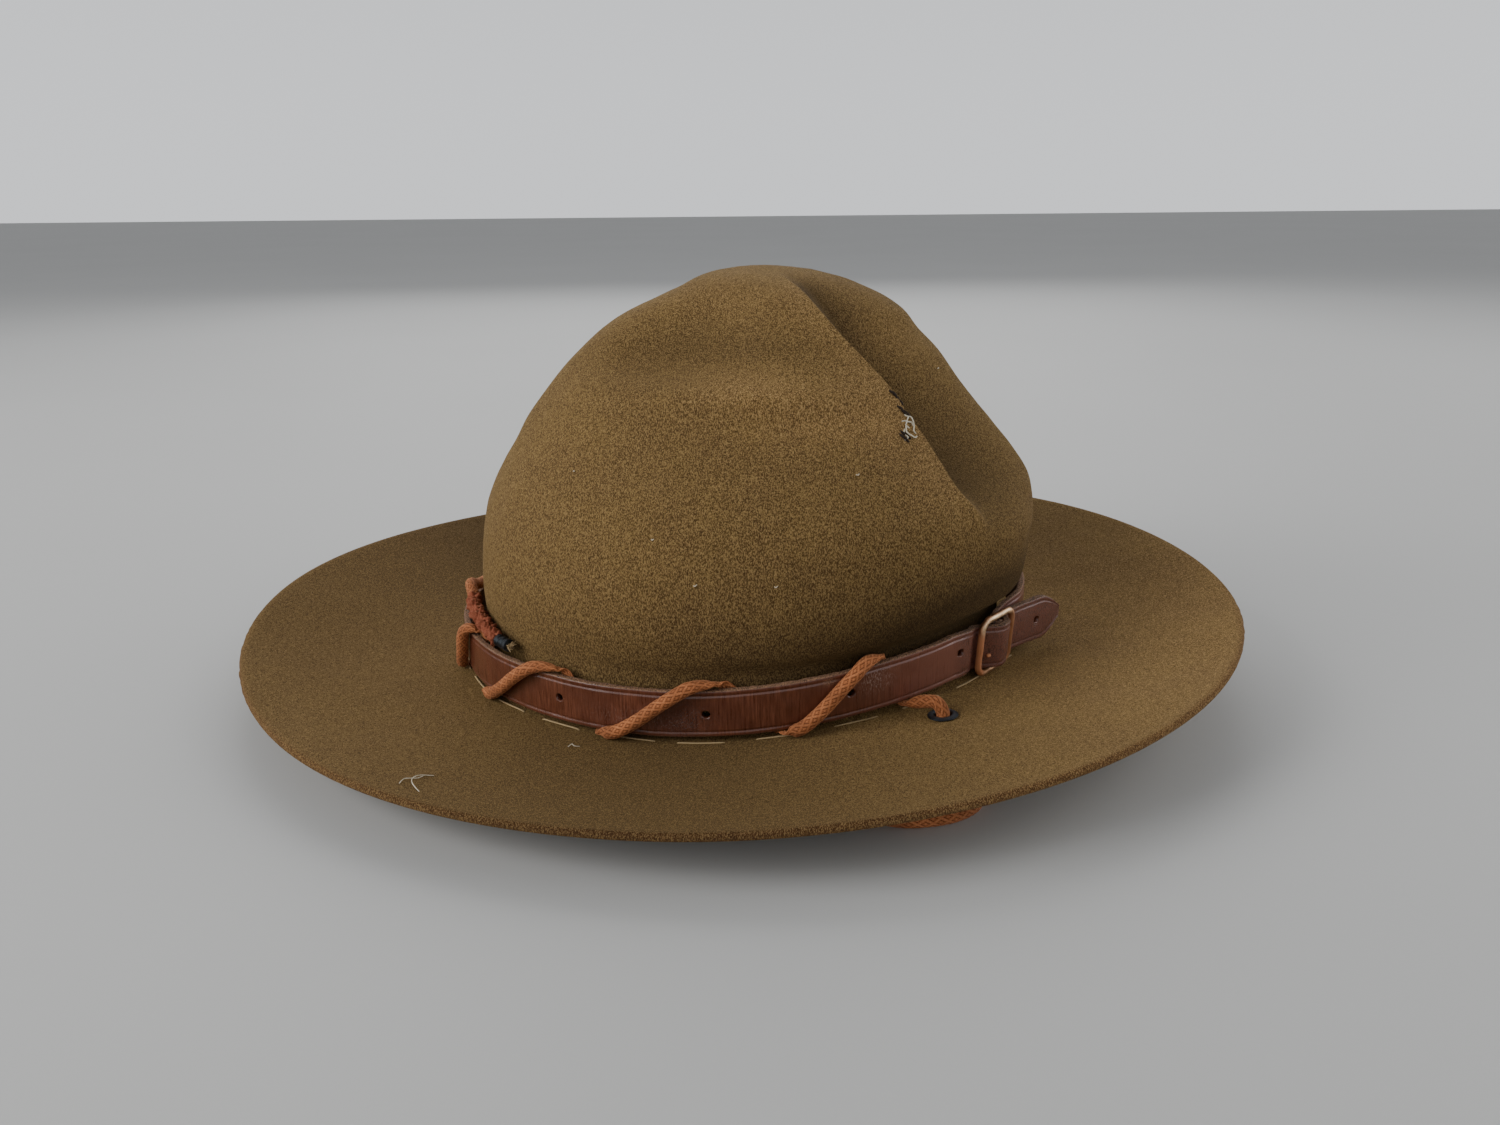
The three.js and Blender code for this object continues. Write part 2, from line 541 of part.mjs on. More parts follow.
function bandBody() {
  const fixed = FIXED_END.map((row) => strapRow(row, row.along > 3));
  const run = [];
  for (let turn = BAND_JOIN; turn <= 360 - BAND_JOIN; turn += BAND_RUN_STEP) {
    run.push({ center: atBand(BUCKLE.azimuth + turn, 0, 0), half: BAND.thick / 2, tall: 1, lean: 0 });
  }
  const free = FREE_END.map((row) => strapRow(row, row.along < 0));
  const strap = toSolid(sweep(strapStations([...fixed, ...run, ...free]), STRAP_SECTION));
  const punch = (centre, direction) =>
    toSolid(drillBit(PUNCHED_HOLE, 3 * BAND.thick, centre, direction, 10));
  const holes = BAND_HOLES.map(({ azimuth, up }) =>
    punch(atBand(azimuth, 0, up), planFrame(azimuth, BAND).out),
  );
  holes.push(punch(atBuckle(TIP_HOLE_ALONG, 9, 0), BUCKLE_PLAN.out));
  const tongueHole = atProng(PRONG.tip / 2 - 0.8, PRONG.eye);
  holes.push(toSolid(drillBit(PRONG.wire + 3 * GAP, 6, tongueHole, BUCKLE_PLAN.along, 12)));
  holes.push(toSolid(drillBit(2 * PRONG.slot, PRONG.wire + 2 * GAP, atProng(0, 0), AXES.height, 16)));
  return fromSolid(holes.reduce((solid, hole) => solid.subtract(hole), strap));
}

// The outline of a rounded rectangle as middle points and the direction out of it at each.
function roundedRectangle(width, height, corner, perCorner) {
  const points = [];
  for (let quarter = 0; quarter < 4; quarter += 1) {
    const sideX = quarter === 0 || quarter === 3 ? 1 : -1;
    const sideY = quarter < 2 ? 1 : -1;
    for (let i = 0; i <= perCorner; i += 1) {
      const angle = (Math.PI / 2) * (quarter + i / perCorner);
      const x = sideX * (width / 2 - corner) + corner * Math.cos(angle);
      const y = sideY * (height / 2 - corner) + corner * Math.sin(angle);
      points.push({ x, y, angle });
    }
  }
  return points;
}

function buckleFrameBody() {
  const { width, height, face } = AXES;
  const wire = BUCKLE.wire / 2;
  const middle = atBuckle(0, BUCKLE.barOut, 0).addScaledVector(face, BUCKLE.setBack);
  const place = (x, y, depth) =>
    middle.clone().addScaledVector(width, x).addScaledVector(height, y).addScaledVector(face, depth);
  const outline = roundedRectangle(
    BUCKLE.width - BUCKLE.wire,
    BUCKLE.height - BUCKLE.wire,
    BUCKLE.corner - wire,
    4,
  );
  const stations = outline.map(({ x, y, angle }) => {
    const outwards = width.clone().multiplyScalar(Math.cos(angle)).addScaledVector(height, Math.sin(angle));
    return {
      center: place(x, y, 0),
      wide: outwards.multiplyScalar(wire),
      thick: face.clone().multiplyScalar(wire),
    };
  });
  const reach = BUCKLE.height / 2 - wire;
  const bar = [-reach, reach].map((y) => ({
    center: place(0, y, -BUCKLE.setBack),
    wide: width.clone().multiplyScalar(BUCKLE.bar / 2),
    thick: face.clone().multiplyScalar(BUCKLE.bar / 2),
  }));
  const frame = toSolid(sweep(stations, roundSection(8), true));
  return fromSolid(frame.add(toSolid(sweep(bar, roundSection(8)))));
}

// The prong: an eye round the centre bar and a short straight tongue through the strap.
function buckleProngBody() {
  const centers = [];
  for (let angle = 190; angle <= 450; angle += 26) {
    const turn = degToRad(angle);
    centers.push(atProng(PRONG.eye * Math.cos(turn), PRONG.eye * Math.sin(turn)));
  }
  centers.push(atProng(PRONG.tip / 2, PRONG.eye), atProng(PRONG.tip, PRONG.eye));
  const stations = centers.map((center, i) => {
    const run = centers[Math.min(i + 1, centers.length - 1)].clone().sub(centers[Math.max(i - 1, 0)]);
    const thick = run.cross(UP).normalize().multiplyScalar(PRONG.wire / 2);
    return { center, wide: UP.clone().multiplyScalar(PRONG.wire / 2), thick };
  });
  return sweep(stations, roundSection(8));
}

// ---------------------------------------------------------------- the lace

// The lace through points, each with its thickness and its azimuth on the band. Its flat side faces
// the middle of the band's section.
function laceBody(points) {
  const stations = points.map(({ center, thick, azimuth }, i) => {
    const before = points[Math.max(i - 1, 0)].center;
    const run = points[Math.min(i + 1, points.length - 1)].center.clone().sub(before);
    const away = planFrame(azimuth, BAND).along.cross(run.normalize()).normalize();
    const wide = run.cross(away).multiplyScalar(LACE / 2);
    return { center, wide, thick: away.multiplyScalar(thick / 2) };
  });
  return sweep(stations, roundSection(LACE_SIDES));
}

const onBand = ({ azimuth, out, up, thick }) => ({ center: atBand(azimuth, out, up), thick, azimuth });

// The lace inside an eyelet and just above it.
function eyeletPoints(place, azimuth) {
  const above = place.top.clone().addScaledVector(place.up, 1.6);
  return [eyeletMiddle(place, 1), above].map((center) => ({ center, thick: LACE, azimuth }));
}

// The wound rows: behind the band from each under to its over, then across its face to the next under.
function woundRows(crossings) {
  return crossings.slice(0, -1).flatMap(({ under, over }, i) => {
    const leg = (rows, from, to) =>
      rows.map(({ share, ...rest }) => ({ ...rest, azimuth: lerp(from, to, share) }));
    return [...leg(INNER_LEG, under, over), ...leg(OUTER_LEG, over, crossings[i + 1].under)];
  });
}

const mirrored = (azimuth) => 180 - azimuth;

function laceLeftBody() {
  const crossings = [...CROSSINGS, { under: LEFT_TUCK[0].azimuth }];
  const rows = [...EYELET_LEAD, ...woundRows(crossings), ...LEFT_TUCK];
  return laceBody([...eyeletPoints(EYELET_PLACES[0], EYELET.azimuth), ...rows.map(onBand)]);
}

function laceRightBody() {
  const crossings = CROSSINGS.map(({ under, over }) => ({ under: mirrored(under), over: mirrored(over) }));
  const lead = EYELET_LEAD.map((row) => ({ ...row, azimuth: mirrored(row.azimuth) }));
  const lastRise = woundRows([LAST_RISE, LAST_RISE]).slice(0, INNER_LEG.length);
  const rows = [...lead, ...woundRows(crossings), ...lastRise, ...RIGHT_END];
  return laceBody([...eyeletPoints(EYELET_PLACES[1], mirrored(EYELET.azimuth)), ...rows.map(onBand)]);
}

function agletBody() {
  const radius = AGLET.diameter / 2;
  const { out, up } = RIGHT_END.at(-1);
  const start = atBand(AGLET.from, out, up);
  const end = atBand(AGLET.to, out, up);
  const run = end.clone().sub(start).normalize();
  const wide = run.clone().cross(UP).normalize().multiplyScalar(radius);
  const thick = wide.clone().cross(run);
  return sweep([start, end].map((center) => ({ center, wide, thick })), roundSection(12));
}

// The point inside an eyelet where the wound lace and the free stretch meet.
function eyeletMiddle({ top, up }, side) {
  return top.clone().addScaledVector(up, -FELT / 2 + (side * GAP) / 2);
}

function laceLoopBody() {
  const [left, right] = EYELET_PLACES;
  const drop = ({ top, up }) => top.clone().addScaledVector(up, -FELT - 2);
  const route = [
    eyeletMiddle(left, -1),
    drop(left),
    ...LOOP_ROUTE.map((point) => new THREE.Vector3(...point)),
    drop(right),
    eyeletMiddle(right, -1),
  ];
  const corners = roundSection(LACE_SIDES).map(({ wide, thick }) => new THREE.Vector2(wide, thick));
  const section = new THREE.Shape(corners.map((corner) => corner.multiplyScalar(LACE / 2)));
  const curve = new THREE.CatmullRomCurve3(route);
  return closedSurface(new THREE.ExtrudeGeometry(section, { steps: LOOP_STEPS, extrudePath: curve }));
}

// ---------------------------------------------------------------- the assembly

const FINISHES = {
  felt: { color: 0x6d5429, roughness: 1, metalness: 0 },
  leather: { color: 0x4b2119, roughness: 0.4, metalness: 0 },
  brass: { color: 0x9a6a3c, roughness: 0.55, metalness: 0.8 },
  japanned: { color: 0x23282d, roughness: 0.45, metalness: 0.5 },
  lace: { color: 0xa5592a, roughness: 0.85, metalness: 0 },
};

const [leftEyelet, rightEyelet] = EYELET_PLACES;
const PIECES = [
  { name: "felt_hat", finish: "felt", geometry: feltBody() },
  { name: "hat_band", finish: "leather", geometry: bandBody() },
  { name: "buckle_frame", finish: "brass", geometry: buckleFrameBody() },
  { name: "buckle_prong", finish: "brass", geometry: buckleProngBody() },
  { name: "eyelet_left", finish: "japanned", geometry: eyeletBody(leftEyelet) },
  { name: "eyelet_right", finish: "japanned", geometry: eyeletBody(rightEyelet) },
  { name: "lace_left", finish: "lace", geometry: laceLeftBody() },
  { name: "lace_right", finish: "lace", geometry: laceRightBody() },
  { name: "lace_aglet", finish: "japanned", geometry: agletBody() },
  { name: "lace_loop", finish: "lace", geometry: laceLoopBody() },
];

const hat = new THREE.Group();
hat.name = "scout_hat";
for (const { name, finish, geometry } of PIECES) {
  const mesh = new THREE.Mesh(geometry, new THREE.MeshStandardMaterial(FINISHES[finish]));
  mesh.name = name;
  hat.add(mesh);
}

export default hat;
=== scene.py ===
"""A scout's felt campaign hat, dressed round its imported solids.

One felt body with a pinched crown and a broad brim, a leather band with its buckle, and a brown
braided lace that is wound on the band and passes through two brim eyelets. Tables are in
millimetres and meshes in metres. The wearer faces -Y and the wearer's left is +X. Azimuths run
from the wearer's left towards the back, in degrees round the oval of the crown's foot.
"""

import logging
import math
from dataclasses import dataclass, field
from enum import Enum
from typing import Callable, Sequence

import bmesh
import bpy
import numpy as np
from mathutils import Matrix, Vector


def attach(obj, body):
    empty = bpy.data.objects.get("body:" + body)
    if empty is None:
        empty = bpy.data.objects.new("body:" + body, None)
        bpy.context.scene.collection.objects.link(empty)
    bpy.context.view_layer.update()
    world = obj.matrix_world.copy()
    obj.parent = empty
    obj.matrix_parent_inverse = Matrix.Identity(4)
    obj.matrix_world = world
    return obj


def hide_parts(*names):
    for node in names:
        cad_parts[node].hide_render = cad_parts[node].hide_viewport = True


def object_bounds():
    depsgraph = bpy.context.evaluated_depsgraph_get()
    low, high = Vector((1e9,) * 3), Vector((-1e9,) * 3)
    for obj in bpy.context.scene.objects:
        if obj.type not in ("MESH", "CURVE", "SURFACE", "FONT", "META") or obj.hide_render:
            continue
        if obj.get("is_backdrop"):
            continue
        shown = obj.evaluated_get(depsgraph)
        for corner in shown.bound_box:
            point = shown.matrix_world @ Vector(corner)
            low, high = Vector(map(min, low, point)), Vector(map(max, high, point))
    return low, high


Array = np.ndarray
Color = tuple[float, float, float]
Socket = bpy.types.NodeSocket
Piece = bpy.types.Object
Material = bpy.types.Material

MM = 0.001
UP = np.array([0.0, 0.0, 1.0])
# the gap that touching pieces keep, the felt's thickness and the lace's
GAP = 0.3
FELT = 2.4
LACE = 4.4
LOG = logging.getLogger("scout_hat")

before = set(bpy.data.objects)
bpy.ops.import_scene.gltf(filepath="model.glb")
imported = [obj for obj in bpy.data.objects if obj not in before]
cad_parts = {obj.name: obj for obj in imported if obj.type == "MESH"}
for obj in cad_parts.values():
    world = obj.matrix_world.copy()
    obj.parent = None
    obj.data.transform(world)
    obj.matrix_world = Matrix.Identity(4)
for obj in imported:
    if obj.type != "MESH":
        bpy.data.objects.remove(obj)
CAD_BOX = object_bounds()


# ------------------------------------------------------------------ numbers in tables


class Table:
    """A short table with named columns, read between its rows on a Catmull-Rom curve."""

    def __init__(self, columns: str, rows: Sequence[Sequence[float]], ring: bool = False) -> None:
        """Keeps the rows as one array; ring says that the last row leads back to the first.

        Args:
            columns: the columns' names.
            rows: the values.
            ring: whether the last row leads back to the first.
        """
        self.names = columns.split()
        self.rows = np.array(rows, float)
        self.ring = ring

    def column(self, name: str) -> Array:
        """One whole column."""
        return self.rows[:, self.names.index(name)]

    def at(self, name: str, place: Array) -> Array:
        """One column at fractional rows."""
        return catmull_rom(self.column(name), np.asarray(place, float), self.ring)

    def round(self, name: str, azimuth: Array) -> Array:
        """One column of a ring at azimuths in degrees."""
        return self.at(name, np.asarray(azimuth, float) * len(self.rows) / 360)


def catmull_rom(values: Array, place: Array, ring: bool = False) -> Array:
    """Reads values between rows on a uniform Catmull-Rom curve.

    Args:
        values: rows, or rows by columns.
        place: fractional row numbers.
        ring: whether the rows close on themselves; otherwise the end rows repeat.

    Returns:
        The values at place, with the columns last.
    """
    first = np.floor(place).astype(int)
    t = place - first
    index = first[..., None] + np.arange(-1, 3)
    index = index % len(values) if ring else np.clip(index, 0, len(values) - 1)
    a, b, c, d = np.moveaxis(values[index], place.ndim, 0)
    t = t.reshape(t.shape + (1,) * (values.ndim - 1))
    return b + 0.5 * t * (c - a + t * (2 * a - 5 * b + 4 * c - d + t * (3 * (b - c) + d - a)))


def smoothstep(value: Array, low: float, high: float) -> Array:
    """3t^2 - 2t^3, where t is the share of the way from low to high, held to 0..1."""
    t = np.clip((np.asarray(value, float) - low) / (high - low), 0, 1)
    return t * t * (3 - 2 * t)


def unit(vectors: Array) -> Array:
    """Vectors of length one."""
    return vectors / np.maximum(np.linalg.norm(vectors, axis=-1, keepdims=True), 1e-12)


def turn_between(a: Array, b: float) -> Array:
    """The turn in degrees from b to a, in -180..180."""
    return (np.asarray(a, float) - b + 180) % 360 - 180


def ripple(points: Array, size: float, seed: int, waves: int = 14) -> Array:
    """A smooth uneven field of about -1..1: the mean of seeded plane waves.

    Args:
        points: places in millimetres, coordinates last.
        size: the typical distance between two crests.
        seed: the draw of directions and phases.
        waves: how many waves are added.

    Returns:
        One value a point.
    """
    draw = np.random.default_rng(seed)
    direction = unit(draw.normal(size=(waves, 3))) * draw.uniform(0.6, 1.5, (waves, 1))
    phase = draw.uniform(0, 2 * np.pi, waves)
    turn = points @ (direction.T * 2 * np.pi / size) + phase
    return np.cos(turn).sum(axis=-1) / math.sqrt(waves)


def uneven(points: Array, waves: Sequence[tuple[float, float, int]]) -> Array:
    """A sum of ripples, each given by its height, the distance between its crests and its seed."""
    return sum(height * ripple(points, size, seed) for height, size, seed in waves)


def patch(azimuth: Array, up: Array, middle: float, level: float, wide: float, tall: float) -> Array:
    """A rounded place of strength one: exp(-turn^2 - rise^2), each the way from its middle over its
    half size.

    Args:
        azimuth: where it is read, in degrees.
        up: where it is read, in height or across a face.
        middle: the azimuth of its middle.
        level: the height of its middle.
        wide: its half width in degrees.
        tall: its half height.

    Returns:
        Its strength at each point.
    """
    turn, rise = turn_between(azimuth, middle) / wide, (up - level) / tall
    return np.exp(-(turn**2) - rise**2)


# how uneven each face is: height, distance between crests and seed of its ripples
FELT_WAVES = ((0.22, 60.0, 3), (0.08, 14.0, 5))
CUT_WAVES = ((0.2, 3.0, 8), (0.12, 1.4, 9))
STRAP_WAVES = ((0.1, 26.0, 21), (0.05, 7.0, 22))
STRAP_EDGE_WAVES = ((0.1, 2.2, 23),)
WIRE_WAVES = ((0.05, 5.0, 31),)
FRAYED_WAVES = ((0.5, 2.6, 41), (0.35, 1.3, 42))


# ------------------------------------------------------------------ meshes from grids


def add_object(name: str, points: Array, faces: list, material: Material) -> Piece:
    """Puts a mesh with its place in its vertices into the scene, and lets it ride on the hat's body.

    Args:
        name: the piece's name.
        points: vertices in millimetres.
        faces: vertex numbers of each face.
        material: the piece's finish.

    Returns:
        The new object.
    """
    mesh = bpy.data.meshes.new(name)
    mesh.from_pydata((points * MM).tolist(), [], faces)
    mesh.update()
    mesh.materials.append(material)
    mesh.polygons.foreach_set("use_smooth", np.ones(len(mesh.polygons), bool))
    piece = bpy.data.objects.new(name, mesh)
    bpy.context.scene.collection.objects.link(piece)
    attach(piece, "root")
    return piece


def grid_volume(points: Array) -> float:
    """The signed volume inside a grid of rows that are closed rings: sum of a . (b x c) / 6."""
    a, d = points[:-1], points[1:]
    b, c = np.roll(a, -1, axis=1), np.roll(d, -1, axis=1)
    return float(((a * np.cross(b, c)).sum() + (a * np.cross(c, d)).sum()) / 6)


@dataclass
class Skin:
    """A closed surface given as rows of rings, with a value of each attribute at each point."""

    points: Array
    along: Array
    around: Array
    marks: dict[str, Array] = field(default_factory=dict)
    loops_back: bool = False

    def build(self, name: str, material: Material) -> Piece:
        """Makes the mesh: quads between rings, a fan over each end, a UV map of along and around.

        Args:
            name: the piece's name.
            material: its finish.

        Returns:
            The object.
        """
        points = self.points if self.loops_back else self._with_caps()
        rows, cols = points.shape[:2]
        if grid_volume(points) < 0:
            points = points[:, ::-1]
            self.marks = {key: value[:, ::-1] for key, value in self.marks.items()}
            self.around = self.around[::-1]
        lower = np.arange(rows if self.loops_back else rows - 1)[:, None]
        upper = (lower + 1) % rows
        left = np.arange(cols)[None, :]
        right = (left + 1) % cols
        corners = [lower * cols + left, lower * cols + right, upper * cols + right, upper * cols + left]
        quads = np.stack([np.broadcast_to(c, (len(lower), cols)) for c in corners], axis=-1)
        number = np.arange(rows * cols)
        if not self.loops_back:
            number[:cols] = 0
            number[-cols:] = (rows - 1) * cols
        quads = number[quads.reshape(-1, 4)]
        uv = self._uv(rows)
        same = (quads == np.roll(quads, -1, axis=1)).any(axis=1)
        keep = np.unique(quads)
        renumber = np.zeros(rows * cols, int)
        renumber[keep] = np.arange(len(keep))
        quads = renumber[quads]
        faces = [
            list(dict.fromkeys(face)) if pinched else face
            for face, pinched in zip(quads.tolist(), same)
        ]
        piece = add_object(name, points.reshape(-1, 3)[keep], faces, material)
        layer = piece.data.uv_layers.new(name="run")
        mask = np.ones(quads.shape, bool)
        mask[same] = quads[same] != np.roll(quads[same], 1, axis=1)
        layer.data.foreach_set("uv", uv.reshape(-1, 4, 2)[mask].astype(np.float32).ravel())
        for key, value in self.marks.items():
            full = value if self.loops_back else np.concatenate([value[:1], value, value[-1:]])
            mark = piece.data.attributes.new(key, "FLOAT", "POINT")
            mark.data.foreach_set("value", full.reshape(-1)[keep].astype(np.float32))
        return piece

    def _with_caps(self) -> Array:
        """The rows with a point at the middle of the first and the last ring."""
        ends = [np.broadcast_to(self.points[i].mean(axis=0), self.points[i].shape) for i in (0, -1)]
        return np.concatenate([ends[0][None], self.points, ends[1][None]])

    def _uv(self, rows: int) -> Array:
        """Corner coordinates of each quad: along the rows and around the ring, without a seam.

        Args:
            rows: how many rings there are, caps included.

        Returns:
            Quads by corners by two.
        """
        along = np.asarray(self.along, float)
        if self.loops_back:
            along = np.append(along, 2 * along[-1] - along[-2])
        else:
            along = np.concatenate([along[:1], along, along[-1:]])
        around = np.append(self.around, 2 * self.around[-1] - self.around[-2])
        count = rows if self.loops_back else rows - 1
        grid = np.stack(np.meshgrid(along, around, indexing="ij"), axis=-1)
        quads = [grid[:-1, :-1], grid[:-1, 1:], grid[1:, 1:], grid[1:, :-1]]
        return np.stack(quads, axis=2)[:count].reshape(-1, 4, 2)


def lengths(points: Array) -> Array:
    """The distance run at each point of a path."""
    return np.concatenate([[0.0], np.cumsum(np.linalg.norm(np.diff(points, axis=0), axis=1))])


def resample(columns: Array, path: Array, step: float) -> Array:
    """Reads rows again at even steps of the path's length.

    Args:
        columns: any values, one row a path point.
        path: the path's points, one row each.
        step: the wanted distance between rows.

    Returns:
        The columns at the even steps.
    """
    run = lengths(path)
    wanted = np.linspace(0, run[-1], max(2, int(round(run[-1] / step)) + 1))
    return np.stack([np.interp(wanted, run, column) for column in columns.T], axis=1)


def circle(sides: int) -> Array:
    """A round section of radius one, sides by (wide, thick)."""
    angle = 2 * np.pi * (np.arange(sides) + 0.5) / sides
    return np.stack([np.cos(angle), np.sin(angle)], axis=1)


def carried(centers: Array, wide: Array, thick: Array, section: Array) -> Array:
    """A section carried along a path: center + wide times one part + thick times the other.

    Args:
        centers: the path's points.
        wide: the vector of one width at each.
        thick: the vector of the other.
        section: its points as (wide, thick).

    Returns:
        Rows of rings of points.
    """
    return (
        centers[:, None]
        + wide[:, None] * section[None, :, :1]
        + thick[:, None] * section[None, :, 1:2]
    )


def rolling_axes(centers: Array, start: Array) -> tuple[Array, Array]:
    """Two directions square to a path that turn about it as little as they can.

    Args:
        centers: the path's points.
        start: a direction that the first one leans to.

    Returns:
        The two unit directions at each point.
    """
    run = unit(np.gradient(centers, axis=0))
    side = np.empty_like(run)
    side[0] = unit(start - run[0] * (start @ run[0]))
    for i in range(1, len(run)):
        side[i] = unit(side[i - 1] - run[i] * (side[i - 1] @ run[i]))
    return side, np.cross(run, side)


# ------------------------------------------------------------------ shader tools


class Bench:
    """Adds the nodes of one tree and joins them."""

    def __init__(self, tree: bpy.types.NodeTree) -> None:
        """Works on an empty tree."""
        self.tree = tree

    def node(self, kind: str, feeds: dict | None = None, **settings: object) -> bpy.types.Node:
        """Adds a node.

        Args:
            kind: the node's type without its ShaderNode prefix.
            feeds: what goes into its inputs, by name or number: a socket or a value.
            settings: its own settings.

        Returns:
            The node.
        """
        node = self.tree.nodes.new(kind if kind.startswith("Node") else "ShaderNode" + kind)
        for key, value in settings.items():
            setattr(node, key, value)
        for key, value in (feeds or {}).items():
            self.feed(node.inputs[key], value)
        return node

    def feed(self, socket: Socket, value: object) -> None:
        """Links a socket to an output, or sets it.

        Args:
            socket: the input.
            value: an output to link, or a value.
        """
        if isinstance(value, Socket):
            self.tree.links.new(value, socket)
        elif isinstance(value, tuple) and len(value) == 3 and socket.type == "RGBA":
            socket.default_value = (*value, 1.0)
        else:
            socket.default_value = value

    def math(self, operation: str, a: object, b: object = 0.0, clamp: bool = False) -> Socket:
        """One sum or product of two values."""
        return self.node("Math", {0: a, 1: b}, operation=operation, use_clamp=clamp).outputs[0]

    def remap(self, value: object, low: float, high: float, to: tuple = (0.0, 1.0)) -> Socket:
        """Takes low..high smoothly to a new range and holds it there."""
        feeds = {"Value": value, "From Min": low, "From Max": high, "To Min": to[0], "To Max": to[1]}
        return self.node("MapRange", feeds, interpolation_type="SMOOTHSTEP").outputs["Result"]

    def mix(self, share: object, a: object, b: object, blend: str = "MIX") -> Socket:
        """Blends two colours.

        Args:
            share: how much of the second.
            a: the first colour.
            b: the second colour.
            blend: how they are blended.

        Returns:
            The blended colour.
        """
        node = self.node("Mix", data_type="RGBA", blend_type=blend, clamp_factor=True)
        for socket, value in zip((node.inputs[0], node.inputs[6], node.inputs[7]), (share, a, b)):
            self.feed(socket, value)
        return node.outputs[2]

    def noise(self, place: object, scale: float, detail: float = 2.0, rough: float = 0.5) -> Socket:
        """Noise of about 0..1 at a scale in cells a metre or a unit."""
        feeds = {"Vector": place, "Scale": scale, "Detail": detail, "Roughness": rough}
        return self.node("TexNoise", feeds).outputs[0]

    def stretched(self, place: object, scale: tuple) -> Socket:
        """A place multiplied along each axis."""
        return self.node("Mapping", {"Vector": place, "Scale": scale}).outputs[0]

    def mark(self, name: str) -> Socket:
        """A value that the mesh holds at its points."""
        return self.node("Attribute", attribute_name=name).outputs["Fac"]

    def bump(self, height: object, distance: float, strength: float = 1.0, normal: object = None) -> Socket:
        """A normal bent by a height.

        Args:
            height: the height.
            distance: what a height of one stands for, in metres.
            strength: how much of it shows.
            normal: the normal that is bent.

        Returns:
            The bent normal.
        """
        feeds = {"Height": height, "Distance": distance, "Strength": strength}
        if normal is not None:
            feeds["Normal"] = normal
        return self.node("Bump", feeds).outputs[0]

    @property
    def place(self) -> Socket:
        """Object coordinates in metres."""
        return self.node("TexCoord").outputs["Object"]

    @property
    def run(self) -> Socket:
        """The piece's own map: along and around."""
        return self.node("UVMap", uv_map="run").outputs[0]


def shader_group(name: str, inputs: dict, outputs: dict, wire: Callable) -> bpy.types.NodeTree:
    """Builds a node group once and finds it again.

    Args:
        name: the group's name.
        inputs: socket kinds and defaults by name.
        outputs: socket kinds by name.
        wire: called with a bench and the input sockets; returns the output values by name.

    Returns:
        The group.
    """
    found = bpy.data.node_groups.get(name)
    if found:
        return found
    group = bpy.data.node_groups.new(name, "ShaderNodeTree")
    for key, (kind, default) in inputs.items():
        socket = group.interface.new_socket(name=key, in_out="INPUT", socket_type="NodeSocket" + kind)
        if default is not None:
            socket.default_value = default
    for key, kind in outputs.items():
        group.interface.new_socket(name=key, in_out="OUTPUT", socket_type="NodeSocket" + kind)
    bench = Bench(group)
    taken = bench.node("NodeGroupInput").outputs
    given = bench.node("NodeGroupOutput")
    for key, value in wire(bench, {key: taken[key] for key in inputs}).items():
        bench.feed(given.inputs[key], value)
    return group


def fibres_group() -> bpy.types.NodeTree:
    """Short pale fibres over darker wool: two noises, one drawn out along the nap, and their height.

    Returns:
        The group.
    """

    def wire(bench: Bench, taken: dict) -> dict:
        """height = fine noise and drawn-out noise; pale = its upper tail; dark = its lower tail."""
        fine = bench.noise(taken["Place"], 3400.0, 2.0, 0.75)
        drawn = bench.noise(bench.stretched(taken["Place"], (1.0, 1.0, 0.45)), 2900.0, 1.0, 0.6)
        height = bench.math("ADD", bench.math("MULTIPLY", fine, 0.5), bench.math("MULTIPLY", drawn, 0.5))
        pale = bench.remap(height, 0.48, 0.60)
        dark = bench.remap(height, 0.40, 0.52, (1.0, 0.0))
        return {"Height": height, "Pale": pale, "Dark": dark}

    outputs = {"Height": "Float", "Pale": "Float", "Dark": "Float"}
    return shader_group("felt_fibres", {"Place": ("Vector", None)}, outputs, wire)


def mottle_group() -> bpy.types.NodeTree:
    """Soft uneven patches at a chosen size, as a value of 0..1.

    Returns:
        The group.
    """

    def wire(bench: Bench, taken: dict) -> dict:
        """patches = noise at the size, spread to the whole range."""
        feeds = {"Vector": taken["Place"], "Scale": taken["Cells"], "Detail": 3.0, "Roughness": 0.55}
        return {"Patches": bench.remap(bench.node("TexNoise", feeds).outputs[0], 0.36, 0.66)}

    inputs = {"Place": ("Vector", None), "Cells": ("Float", 40.0)}
    return shader_group("soft_mottle", inputs, {"Patches": "Float"}, wire)


def mottle(bench: Bench, place: object, cells: float) -> Socket:
    """Places the soft mottle in a material.

    Args:
        bench: the material's bench.
        place: where it is read.
        cells: patches a metre.

    Returns:
        A value of 0..1.
    """
    node = bench.node("Group", node_tree=mottle_group())
    bench.feed(node.inputs["Place"], place)
    bench.feed(node.inputs["Cells"], cells)
    return node.outputs["Patches"]


def new_material(name: str) -> tuple[Material, Bench, bpy.types.Node]:
    """An empty material with its bench and its shader.

    Args:
        name: its name.

    Returns:
        The material, its bench and its shader.
    """
    material = bpy.data.materials.new(name)
    material.use_nodes = True
    material.node_tree.nodes.clear()
    bench = Bench(material.node_tree)
    shader = bench.node("BsdfPrincipled")
    bench.node("OutputMaterial", {"Surface": shader.outputs[0]})
    return material, bench, shader


# ------------------------------------------------------------------ finishes


